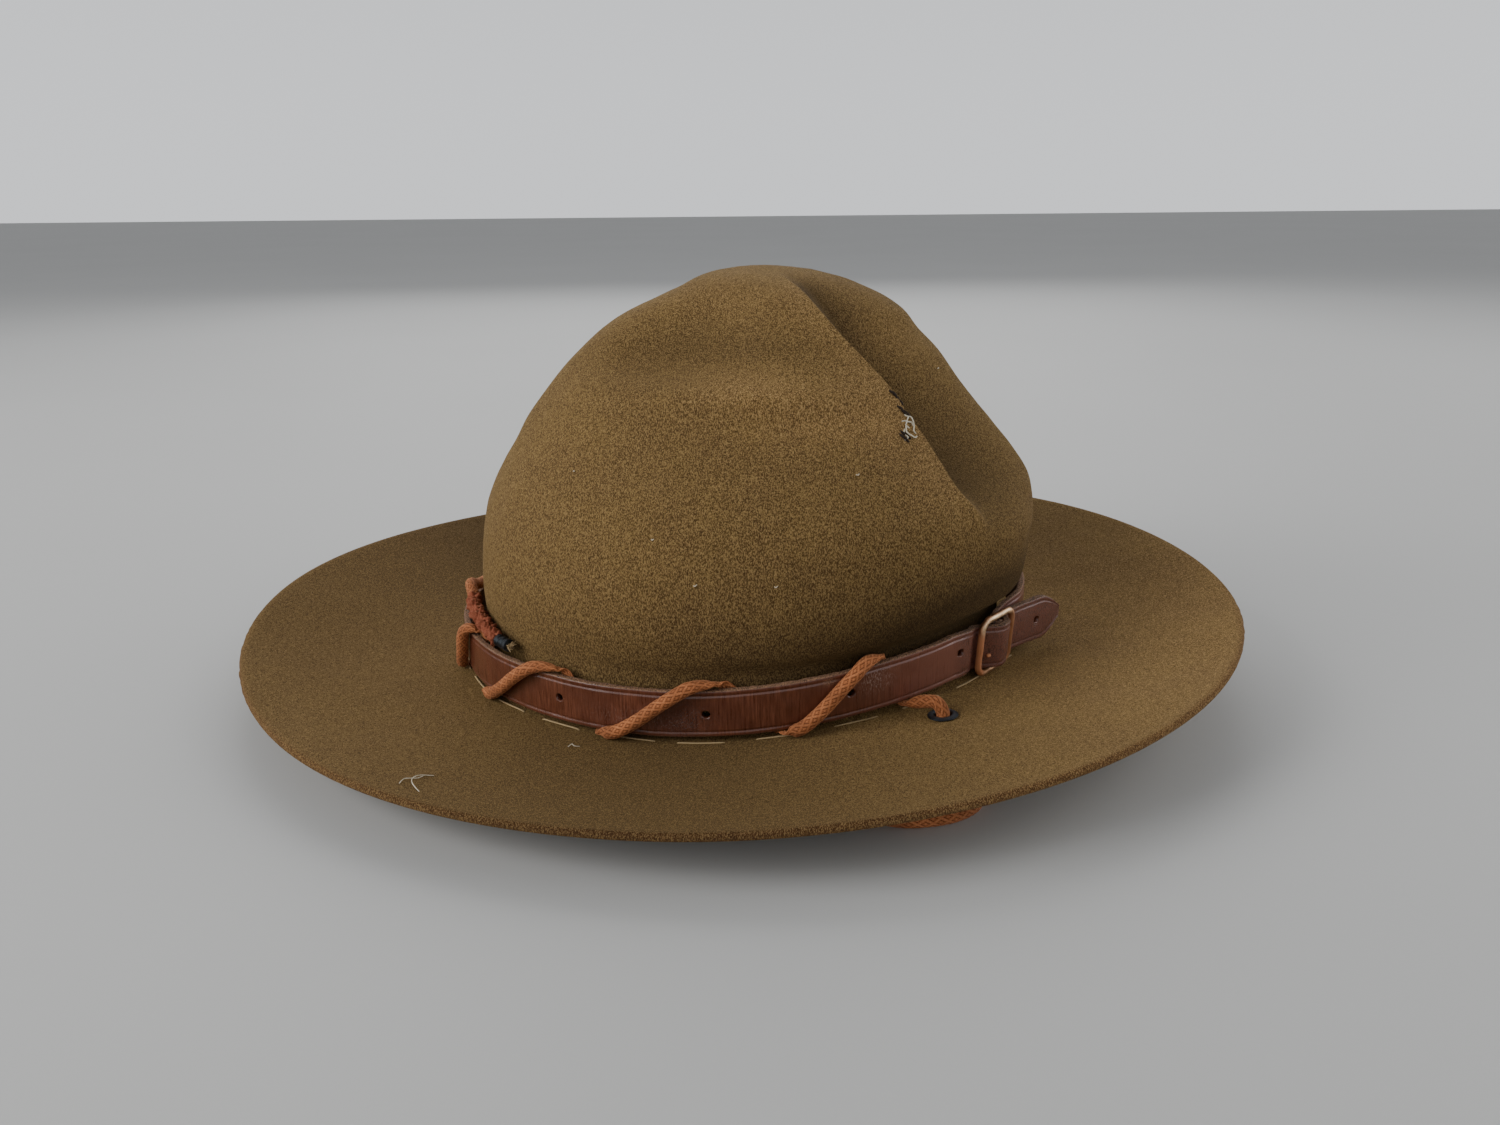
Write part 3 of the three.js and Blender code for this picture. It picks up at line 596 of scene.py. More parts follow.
@dataclass(frozen=True)
class FeltFinish:
    """Olive wool felt: a fuzzy nap, soft patches, and a redder cut edge."""

    olive: Color = (0.165, 0.100, 0.034)
    brown: Color = (0.108, 0.060, 0.026)
    dark: Color = (0.050, 0.027, 0.011)
    fibre: Color = (0.380, 0.250, 0.100)
    cut: Color = (0.125, 0.058, 0.024)
    # multipliers of the painted shade and of the painted highlight
    shaded: Color = (0.300, 0.280, 0.290)
    painted_highlight_tint: Color = (1.420, 1.400, 1.450)

    def material(self) -> Material:
        """Wires the finish. Marks read: brown, shade (painted shade), pale (painted highlight), cut.

        Returns:
            The material.
        """
        material, bench, shader = new_material("wool_felt")
        place = bench.place
        fibres = bench.node("Group", {"Place": place}, node_tree=fibres_group()).outputs
        ground = bench.mix(bench.math("MULTIPLY", mottle(bench, place, 38.0), 0.5), self.olive, self.brown)
        ground = bench.mix(bench.mark("brown"), ground, self.brown)
        ground = bench.mix(bench.math("MULTIPLY", mottle(bench, place, 330.0), 0.35), ground, self.brown)
        nap = bench.noise(place, 950.0, 4.0, 0.75)
        ground = bench.mix(bench.remap(nap, 0.48, 0.66, (0.0, 0.55)), ground, self.fibre)
        ground = bench.mix(bench.remap(nap, 0.34, 0.5, (0.6, 0.0)), ground, self.dark)
        ground = bench.mix(bench.mark("cut"), ground, self.cut)
        ground = bench.mix(bench.math("MULTIPLY", fibres["Dark"], 0.75), ground, self.dark)
        ground = bench.mix(bench.math("MULTIPLY", fibres["Pale"], 0.7), ground, self.fibre)
        # painted shade: the shade mark darkens the colour where shade falls; painted highlight: the pale
        # mark brightens it where light falls
        ground = bench.mix(bench.mark("shade"), ground, self.shaded, "MULTIPLY")
        ground = bench.mix(bench.mark("pale"), ground, self.painted_highlight_tint, "MULTIPLY")
        normal = bench.bump(fibres["Height"], 0.0008, 0.8)
        for key, value in {
            "Base Color": ground, "Normal": normal, "Roughness": 0.95, "Specular IOR Level": 0.12,
            "Sheen Weight": 0.14, "Sheen Roughness": 0.5, "Sheen Tint": (0.62, 0.42, 0.16),
        }.items():
            bench.feed(shader.inputs[key], value)
        return material


@dataclass(frozen=True)
class LeatherFinish:
    """Oxblood strap leather, glossy, with fine streaks across it and a raw tan edge."""

    deep: Color = (0.088, 0.024, 0.012)
    worn: Color = (0.190, 0.060, 0.029)
    grey: Color = (0.225, 0.090, 0.066)
    raw: Color = (0.330, 0.175, 0.090)
    crack: Color = (0.018, 0.007, 0.006)
    scuffed: Color = (0.420, 0.300, 0.250)

    def material(self) -> Material:
        """Wires the finish. Marks read: raw, crackle, grey, scuff.

        Returns:
            The material.
        """
        material, bench, shader = new_material("strap_leather")
        run, place = bench.run, bench.place
        streaks = bench.noise(bench.stretched(run, (1.0, 0.05, 1.0)), 1.6, 4.0, 0.7)
        grain = bench.noise(place, 2600.0, 3.0, 0.6)
        color = bench.mix(bench.remap(streaks, 0.35, 0.7), self.deep, self.worn)
        color = bench.mix(bench.math("MULTIPLY", mottle(bench, place, 90.0), 0.6), color, self.deep)
        color = bench.mix(bench.mark("grey"), color, self.grey)
        rubbed = bench.remap(bench.noise(bench.stretched(run, (1.0, 0.3, 1.0)), 2.4, 4.0, 0.75), 0.5, 0.62)
        color = bench.mix(bench.math("MULTIPLY", rubbed, bench.mark("scuff")), color, self.scuffed)
        raw = bench.mark("raw")
        color = bench.mix(raw, color, bench.mix(bench.remap(grain, 0.35, 0.62), self.crack, self.raw))
        lines = bench.node("TexVoronoi", {"Vector": bench.stretched(run, (1.0, 0.55, 1.0)), "Scale": 1.5},
                           feature="DISTANCE_TO_EDGE").outputs[0]
        cracks = bench.math("MULTIPLY", bench.remap(lines, 0.02, 0.09, (1.0, 0.0)), bench.mark("crackle"))
        color = bench.mix(bench.math("MULTIPLY", cracks, 0.8), color, self.crack)
        raised = bench.math("ADD", bench.math("MULTIPLY", grain, 0.35), streaks)
        normal = bench.bump(bench.math("SUBTRACT", raised, cracks), 0.00035, 0.5)
        gloss = bench.remap(streaks, 0.3, 0.7, (0.26, 0.42))
        rough = bench.math("ADD", gloss, bench.math("MULTIPLY", raw, 0.5))
        coat = bench.math("MULTIPLY", bench.math("SUBTRACT", 1.0, raw), 0.6)
        for key, value in {
            "Base Color": color, "Normal": normal, "Roughness": rough, "Specular IOR Level": 0.5,
            "Coat Weight": coat, "Coat Roughness": 0.16,
        }.items():
            bench.feed(shader.inputs[key], value)
        return material


@dataclass(frozen=True)
class LaceFinish:
    """Orange-brown braid: diamonds of two strand directions, with painted shade in the gaps between the
    strands and strand crowns that are lighter, partly as a painted highlight.
    """

    light: Color = (0.600, 0.240, 0.100)
    strand: Color = (0.440, 0.150, 0.054)
    gap: Color = (0.070, 0.019, 0.007)
    frayed: Color = (0.250, 0.064, 0.034)

    def material(self) -> Material:
        """Wires the finish. Marks read: weave, frayed.

        Returns:
            The material.
        """
        material, bench, shader = new_material("braided_lace")
        place = bench.place
        weave = bench.mark("weave")
        fuzz = bench.noise(place, 2400.0, 3.0, 0.65)
        # painted shade in the gaps between the strands, then a painted highlight on the strands' crowns,
        # broken up by the fuzz
        color = bench.mix(bench.remap(weave, 0.12, 0.62), self.gap, self.strand)
        color = bench.mix(bench.remap(bench.math("MULTIPLY", weave, fuzz), 0.34, 0.56), color, self.light)
        color = bench.mix(bench.math("MULTIPLY", mottle(bench, place, 110.0), 0.35), color, self.gap)
        color = bench.mix(bench.math("MULTIPLY", bench.mark("frayed"), 0.85), color, self.frayed)
        normal = bench.bump(fuzz, 0.0005, 0.6)
        for key, value in {
            "Base Color": color, "Normal": normal, "Roughness": 0.85, "Specular IOR Level": 0.25,
            "Sheen Weight": 0.25, "Sheen Roughness": 0.4, "Sheen Tint": (0.9, 0.5, 0.25),
        }.items():
            bench.feed(shader.inputs[key], value)
        return material


@dataclass(frozen=True)
class MetalFinish:
    """Old metal: bright wear on its high spots, tarnish or rust elsewhere."""

    name: str
    bright: Color
    tarnish: Color
    rust: Color
    rust_cells: float = 220.0
    roughness: float = 0.42

    def material(self) -> Material:
        """Wires the finish. Marks read: worn, rusty.

        Returns:
            The material.
        """
        material, bench, shader = new_material(self.name)
        place = bench.place
        patches = mottle(bench, place, self.rust_cells)
        grit = bench.noise(place, 3200.0, 3.0, 0.6)
        worn = bench.math("MULTIPLY", bench.mark("worn"), bench.remap(grit, 0.3, 0.55, (0.55, 1.0)))
        rusty = bench.math("MAXIMUM", bench.mark("rusty"), bench.math("MULTIPLY", patches, 0.35))
        color = bench.mix(worn, self.tarnish, self.bright)
        color = bench.mix(rusty, color, bench.mix(grit, self.rust, self.tarnish))
        metal = bench.math("SUBTRACT", 1.0, bench.math("MULTIPLY", rusty, 0.8), clamp=True)
        rough = bench.math("ADD", bench.math("MULTIPLY", rusty, 0.35), self.roughness)
        for key, value in {
            "Base Color": color, "Metallic": metal, "Roughness": rough,
            "Normal": bench.bump(bench.math("ADD", grit, patches), 0.00025, 0.5),
        }.items():
            bench.feed(shader.inputs[key], value)
        return material


@dataclass(frozen=True)
class ThreadFinish:
    """Plain thread or lint with a twist of light and dark."""

    name: str
    light: Color
    dark: Color

    def material(self) -> Material:
        """Wires the finish.

        Returns:
            The material.
        """
        material, bench, shader = new_material(self.name)
        place = bench.place
        twist = bench.noise(place, 3800.0, 2.0, 0.6)
        color = bench.mix(bench.remap(twist, 0.35, 0.6), self.dark, self.light)
        for key, value in {
            "Base Color": color, "Roughness": 0.8, "Specular IOR Level": 0.3,
            "Normal": bench.bump(twist, 0.0003, 0.6),
        }.items():
            bench.feed(shader.inputs[key], value)
        return material


# ------------------------------------------------------------------ ovals, felt


@dataclass(frozen=True)
class Oval:
    """An oval in plan, its middle leaning to the back."""

    half_length: float
    half_width: float
    lean: float = 0.0

    def frame(self, azimuth: Array) -> tuple[Array, Array, Array]:
        """The oval's points at azimuths, the directions out of it and along it.

        Args:
            azimuth: azimuths in degrees.

        Returns:
            The points, the directions out and along.
        """
        angle = np.radians(np.asarray(azimuth, float))
        cos, sin, level = np.cos(angle), np.sin(angle), np.zeros_like(angle)
        foot = np.stack([self.half_width * cos, self.half_length * sin + self.lean, level], axis=-1)
        out = unit(np.stack([cos / self.half_width, sin / self.half_length, level], axis=-1))
        return foot, out, np.stack([-out[..., 1], out[..., 0], level], axis=-1)


# rings of the crown from its foot to its peak: their oval, how deep and how wide the pinches are,
# how deep the scoops are, and the azimuth of the back pinch's crest
CROWN = Table("height lean half_length half_width pinch spread scoop crest", [
    (4.4, 2, 98.5, 84.5, 0, 16, 0, 56.25), (13, 2, 98.5, 84.4, 0, 16, 0, 56.25),
    (23.5, 2.2, 98.6, 84.4, 0, 16, 0, 56.25), (30, 5.6, 102.2, 86.6, 0, 16, 0, 56.25),
    (40, 6.8, 102.9, 88, 0, 16, 0, 56.25), (52, 7.6, 102.4, 87.6, 0, 17, 0, 56.25),
    (63, 9, 101.6, 86, 0, 18, 0, 55), (72, 10.2, 99.3, 83.5, 0.06, 20, 0, 53),
    (81, 9.7, 94.4, 79.8, 0.17, 23, 0, 50.3), (90, 8.9, 88.4, 75, 0.235, 26, 0, 49.5),
    (98, 8.1, 83, 70.5, 0.27, 28, 0, 48.6), (106, 8.1, 77, 66, 0.295, 30, 0, 46.6),
    (115, 8.5, 70.5, 61, 0.3, 33, 0.03, 43.5), (123, 8.8, 63, 54.5, 0.3, 37, 0.12, 39.5),
    (131.5, 10.9, 53.4, 47, 0.3, 41, 0.19, 33), (139.5, 13.1, 35.5, 38, 0.27, 42, 0.16, 31),
    (144.5, 11.3, 20, 24, 0.18, 42, 0.07, 34), (147, 11, 0, 0, 0, 42, 0, 40),
])
PEAK = len(CROWN.rows) - 1
# how wide a scoop is, in degrees
SCOOP_SPREAD = 38.0


class Dent(Enum):
    """The kinds of dent in the crown."""

    PINCH = "pinch"
    SCOOP = "scoop"


# kind, azimuth, depth, then width and edge before it, width and edge after it; the back pinch starts
# at the crown's crest column
DENTS = (
    (Dent.PINCH, None, 1.05, 0.42, 0.9, 1.6, 1.7),
    (Dent.PINCH, 268.0, 0.5, 1.0, 2.0, 1.0, 2.0),
    (Dent.SCOOP, 348.0, 1.0, 1.0, 2.0, 1.0, 2.0),
    (Dent.SCOOP, 190.0, 1.3, 1.0, 2.0, 1.0, 2.0),
)

# the brim: how far it reaches, how high its edge and its root are, and the strap's lower edge,
# every 45 degrees from the wearer's left
RIM = Table("reach rise root strap", [
    (78.6, 14.6, 1.5, 5.8), (80.3, 22.1, 8.2, 13.6), (82.8, 28.1, 8.6, 18.2), (80.7, 29.2, 11.8, 17.2),
    (78.6, 20.4, 5, 9.2), (83.3, 17.7, 0, 4.4), (86.8, 19.4, 0, 4.4), (83.3, 13.5, 0, 4.4),
], ring=True)

# soft forms of the felt: azimuth and height of the middle, half width in degrees, half height, how
# far it stands out, and how many degrees it leans over a millimetre of height
CROWN_FORMS = Table("azimuth height wide tall out slant", [
    (8, 110, 30, 5.0, 3.4, -0.8), (-30, 120, 24, 6, -2.2, 0), (66, 62, 22, 13, 1.2, 0),
    (60, 34, 24, 14, -1.6, 0), (35, 84, 16, 16, 0.7, 0), (12, 126, 20, 7, -1.2, 0),
])
# brown places, and places of painted shade and painted highlight: azimuth, height, half width in degrees,
# half height, and the strengths of brown, painted shade (shade) and painted highlight (pale); the first row
# is painted shade under the bulge over browner felt
CROWN_TONES = Table("azimuth height wide tall brown shade pale", [
    (60, 33, 34, 20.5, 0.4, 1.45, 0), (8, 26, 55, 16, 0.3, 0.38, 0), (8, 113, 16, 6, 0, 0, 0.8),
    (28, 104, 20, 8, 0, 0, 0.95), (-26, 122, 24, 7, 0.2, 0.3, 0), (-70, 60, 30, 60, 0.0, 0.1, 0),
    (78, 122, 20, 12, 0, 0, 0.5), (10, 124, 26, 5, 0.1, 0.22, 0), (-20, 140, 40, 8, 0, 0, 0.3),
])
# how brown the brim's top is, and how much painted shade and painted highlight it has, every 45 degrees from
# the wearer's left
BRIM_TONES = Table("brown shade pale", [
    (0.5, 0.5, 0), (0.1, 0.05, 0.2), (0.0, 0.0, 0.5), (0.2, 0.2, 0), (0.4, 0.6, 0), (0.6, 0.9, 0),
    (0.5, 0.15, 0), (0.3, 0.1, 0.1),
], ring=True)


@dataclass
class FeltBody:
    """The hat's felt: the pinched crown, the bend at its foot and the bowed brim."""

    foot: Oval = Oval(98.5, 84.5, 2.0)
    bend: float = 2.0
    level: float = 5.0
    bow: float = 1.6
    fade: tuple[float, float] = (12.0, 60.0)
    sides: int = 432
    crown_rows: int = 108
    brim_rows: int = 40
    inner_rows: int = 41
    inner_brim_rows: int = 16
    peak_place: float = 0.004
    cut_bulge: float = 0.55
    eyelet_azimuth: float = 43.7
    eyelet_out: float = 16.5
    eyelet_hole: float = 6.8
    crest_side: float = 56.25
    crest_reach: float = 90.0
    # the painted shade in the back pinch's fold and the painted highlight on the lip before it: the heights
    # over which they come in and fade out, where the shade starts beyond the crest, its width and strength,
    # and the lip's width and strength
    fold_foot: tuple[float, float] = (62.0, 84.0)
    fold_top: tuple[float, float] = (140.0, 146.0)
    fold_start: tuple[float, float] = (-0.8, 2.6)
    fold_width: float = 30.0
    fold_shade: float = 0.95
    fold_lip_highlight: tuple[float, float] = (12.0, 0.7)

    def root(self, azimuth: Array) -> Array:
        """How high the brim's underside is at the crown's foot."""
        return np.maximum(0.0, RIM.round("root", azimuth))

    def dents(self, azimuth: Array, row: Array) -> Array:
        """The share of its size by which a ring goes in: the sum over the dents of depth times
        (1 - across^2)^edge, where across is the turn from the dent over its spread.

        Args:
            azimuth: azimuths in degrees.
            row: fractional rows of the crown's table.

        Returns:
            The share at each point.
        """
        share = np.zeros(np.broadcast(azimuth, row).shape)
        for kind, middle, depth, before, edge_before, after, edge_after in DENTS:
            spread = CROWN.at("spread", row) if kind is Dent.PINCH else SCOOP_SPREAD
            valley = CROWN.at("crest", row) + before * spread if middle is None else middle
            turn = turn_between(azimuth, valley)
            across = turn / (spread * np.where(turn < 0, before, after))
            bump = np.clip(1 - across**2, 0, 1) ** np.where(turn < 0, edge_before, edge_after)
            share = share + depth * CROWN.at(kind.value, row) * bump
        return share

    def crown(self, azimuth: Array, row: Array) -> Array:
        """The crown's outer face: an oval ring, drawn in by the dents and lifted with the root.

        Args:
            azimuth: azimuths in degrees.
            row: fractional rows of the crown's table.

        Returns:
            The points.
        """
        angle = np.radians(azimuth)
        kept = 1 - self.dents(azimuth, row)
        height = CROWN.at("height", row)
        follow = 1 - smoothstep(height, *self.fade)
        return np.stack(np.broadcast_arrays(
            kept * CROWN.at("half_width", row) * np.cos(angle),
            kept * CROWN.at("half_length", row) * np.sin(angle) + CROWN.at("lean", row),
            height + follow * self.root(azimuth),
        ), axis=-1)

    def brim(self, azimuth: Array, distance: Array) -> Array:
        """The brim's top at a distance out from the crown's foot: a quarter bend, a level ring, and a
        bow that rises by the power of its share of the way.

        Args:
            azimuth: azimuths in degrees.
            distance: distances from the foot.

        Returns:
            The points.
        """
        foot, out, _ = self.foot.frame(azimuth)
        root = self.root(azimuth)
        flat = self.bend + self.level
        inward = np.clip(self.bend - distance, 0, self.bend)
        curl = self.bend - np.sqrt(self.bend**2 - inward**2)
        share = np.clip((distance - flat) / (RIM.round("reach", azimuth) - flat), 0, None)
        height = root + FELT + curl + (RIM.round("rise", azimuth) - root) * share**self.bow
        return foot + out * distance[..., None] + UP * height[..., None]

    def face(self, azimuth: Array, place: Array) -> Array:
        """The outer face from the peak (0) to the crown's foot (1), round the bend (2), to the edge (3).

        Args:
            azimuth: azimuths in degrees.
            place: places from peak to edge, 0..3.

        Returns:
            The points.
        """
        azimuth, place = np.broadcast_arrays(azimuth, place)
        crown = self.crown(azimuth, PEAK * (1 - np.clip(place, 0, 1)))
        reach = RIM.round("reach", azimuth)
        near = self.bend * (1 - np.cos(np.pi / 2 * (np.clip(place, 1, 2) - 1)))
        far = self.bend + (reach - self.bend) * (np.clip(place, 2, 3) - 2)
        brim = self.brim(azimuth, np.where(place > 2, far, near))
        return np.where((place <= 1)[..., None], crown, brim)

    def normals(self, azimuth: Array, place: Array, probe: float = 1e-3) -> Array:
        """Directions out of the outer face, from small steps along and down it.

        Args:
            azimuth: azimuths in degrees.
            place: places from peak to edge.
            probe: the small step.

        Returns:
            Unit directions.
        """
        ahead = self.face(azimuth + probe, place) - self.face(azimuth - probe, place)
        lower, upper = np.minimum(place + probe, 3), np.maximum(place - probe, 1e-4)
        down = self.face(azimuth, lower) - self.face(azimuth, upper)
        return unit(np.cross(down, ahead))

    def relief(self, azimuth: Array, points: Array) -> Array:
        """How far the finer soft forms stand out: rounded bumps over azimuth and height.

        Args:
            azimuth: azimuths in degrees.
            points: the points of the plain face.

        Returns:
            The height at each point.
        """
        height = points[..., 2]
        out = np.zeros(height.shape)
        for middle, level, wide, tall, lift, slant in CROWN_FORMS.rows:
            leaning = azimuth - slant * (height - level)
            out = out + lift * patch(leaning, height, middle, level, wide, tall)
        return out + uneven(points, FELT_WAVES)

    def tones(self, azimuth: Array, points: Array, on_brim: Array) -> dict[str, Array]:
        """The marks brown, shade (painted shade) and pale (painted highlight): the brim's own, rounded
        patches over azimuth and height on the crown, and painted shade in the fold beyond the crest with a
        painted highlight on the lip before it.

        Args:
            azimuth: azimuths in degrees.
            points: the points of the face.
            on_brim: 0 on the crown, 1 on the brim.

        Returns:
            A value at each point by mark.
        """
        height = points[..., 2]
        marks = {name: on_brim * BRIM_TONES.round(name, azimuth) for name in ("brown", "shade", "pale")}
        for middle, level, wide, tall, *strengths in CROWN_TONES.rows:
            spot = patch(azimuth, height, middle, level, wide, tall) * (1 - on_brim)
            for name, strength in zip(marks, strengths):
                marks[name] = marks[name] + strength * spot
        row = np.interp(height, CROWN.column("height"), np.arange(PEAK + 1.0))
        fold = turn_between(azimuth, 0.0) - CROWN.at("crest", row)
        in_pinch = smoothstep(height, *self.fold_foot) * (1 - smoothstep(height, *self.fold_top))
        in_pinch = in_pinch * (1 - on_brim)
        beyond = smoothstep(fold, *self.fold_start)
        # painted shade in the hollow just beyond the crest, and a painted highlight on the lip just before
        # it
        dark = beyond * np.exp(-((fold / self.fold_width) ** 2))
        lip = (1 - beyond) * np.exp(-((fold / self.fold_lip_highlight[0]) ** 2))
        marks["shade"] = marks["shade"] + self.fold_shade * in_pinch * dark
        marks["pale"] = marks["pale"] + self.fold_lip_highlight[1] * in_pinch * lip
        return {key: np.clip(value, 0, 1) for key, value in marks.items()}

    def along_crest(self, azimuth: Array, place: Array) -> Array:
        """The azimuths of the grid's sides by rows: one side follows the crest, and the others go
        with it by the square of how near they are."""
        near = np.clip(1 - np.abs(turn_between(azimuth, self.crest_side)) / self.crest_reach, 0, 1) ** 2
        crest = CROWN.at("crest", PEAK * (1 - np.clip(place, 0, 1)))
        return azimuth + (crest - self.crest_side)[:, None] * near

    def build(self, material: Material) -> Piece:
        """Makes the felt: its outer face, the cut edge and the inner face one thickness inside.

        Args:
            material: its finish.

        Returns:
            The piece.
        """
        azimuth = np.arange(self.sides) * 360 / self.sides
        outer = np.concatenate([
            np.linspace(self.peak_place, 1, self.crown_rows) ** 0.9, np.linspace(1, 2, 6)[1:-1],
            np.linspace(2, 3, self.brim_rows),
        ])
        inner = np.concatenate([
            np.linspace(3, 2, self.inner_brim_rows), np.linspace(2, 1, 5)[1:-1],
            np.linspace(1, self.peak_place, self.inner_rows),
        ])
        turn, turn_inside = self.along_crest(azimuth, outer), self.along_crest(azimuth, inner)
        top = self.face(turn, outer[:, None])
        out = self.normals(turn, outer[:, None])
        relief = self.relief(turn, top)
        off_rim, off_bend = smoothstep(3 - outer, 0.0, 0.08), smoothstep(np.abs(outer - 1.5), 0.5, 0.6)
        relief = relief * (off_rim * off_bend)[:, None]
        top = top + out * relief[..., None]
        under = self.face(turn_inside, inner[:, None]) - FELT * self.normals(turn_inside, inner[:, None])
        edge_share = np.array([0.12, 0.3, 0.5, 0.7, 0.88])[:, None, None]
        bulge = self.cut_bulge * np.sin(np.pi * edge_share)
        _, away, _ = self.foot.frame(azimuth)
        swell = away * bulge * (1 + uneven(top[-1], CUT_WAVES)[None, :, None])
        edge = top[-1] * (1 - edge_share) + under[0] * edge_share + swell
        points = np.concatenate([top, edge, under])
        points[..., 2] = np.maximum(points[..., 2], 0.0)
        tones = self.tones(turn, top, smoothstep(outer, 1.0, 2.0)[:, None])
        rows = len(points)
        marks = {
            key: np.concatenate([value, np.repeat(value[-1:], rows - len(value), axis=0)])
            for key, value in tones.items()
        }
        cut = np.zeros(rows)
        cut[len(top) - 1:len(top) + len(edge) + 1] = (0.5, 1, 1, 1, 1, 1, 0.6)
        marks["cut"] = np.repeat(cut[:, None], self.sides, axis=1)
        along = np.concatenate([outer, np.linspace(3.01, 3.05, 5), 6.1 - inner])
        piece = Skin(points, along, azimuth / 360, marks).build("felt_body", material)
        for azimuth_of_hole in (self.eyelet_azimuth, 180 - self.eyelet_azimuth):
            top_point, up = self.eyelet(azimuth_of_hole)
            cut_round_hole(piece, top_point, up, self.eyelet_hole, 4 * FELT, 40)
        return piece

    def eyelet(self, azimuth: float) -> tuple[Array, Array]:
        """An eyelet's middle on the brim's top, and the direction out of the brim there."""
        at = lambda turn, out: self.brim(np.array(azimuth + turn), np.array(self.eyelet_out + out))
        ahead, outwards = at(1e-3, 0) - at(-1e-3, 0), at(0, 1e-3) - at(0, -1e-3)
        return at(0, 0), unit(np.cross(outwards, ahead))


def cut_round_hole(
    piece: Piece, middle: Array, run: Array, diameter: float, length: float, sides: int,
) -> None:
    """Cuts a round hole through a piece and keeps its marks.

    Args:
        piece: what is cut.
        middle: the middle of the hole.
        run: its direction.
        diameter: its width.
        length: the cutter's length.
        sides: the cutter's sides.
    """
    side = unit(np.cross(run, [0.31, 0.87, 0.38]))
    ends = middle + run * np.array([[-0.5], [0.5]]) * length
    wide, thick = (np.array([axis] * 2) * diameter / 2 for axis in (side, np.cross(run, side)))
    ring = carried(ends, wide, thick, circle(sides))
    cutter = Skin(ring, np.arange(2.0), np.arange(float(sides))).build("cutter", piece.data.materials[0])
    cut = piece.modifiers.new("hole", "BOOLEAN")
    cut.operation, cut.solver, cut.object = "DIFFERENCE", "MANIFOLD", cutter
    bpy.context.view_layer.update()
    shape = piece.evaluated_get(bpy.context.evaluated_depsgraph_get())
    mesh = bpy.data.meshes.new_from_object(shape)
    piece.modifiers.clear()
    piece.data = mesh
    bpy.data.objects.remove(cutter)


# ------------------------------------------------------------------ band and buckle


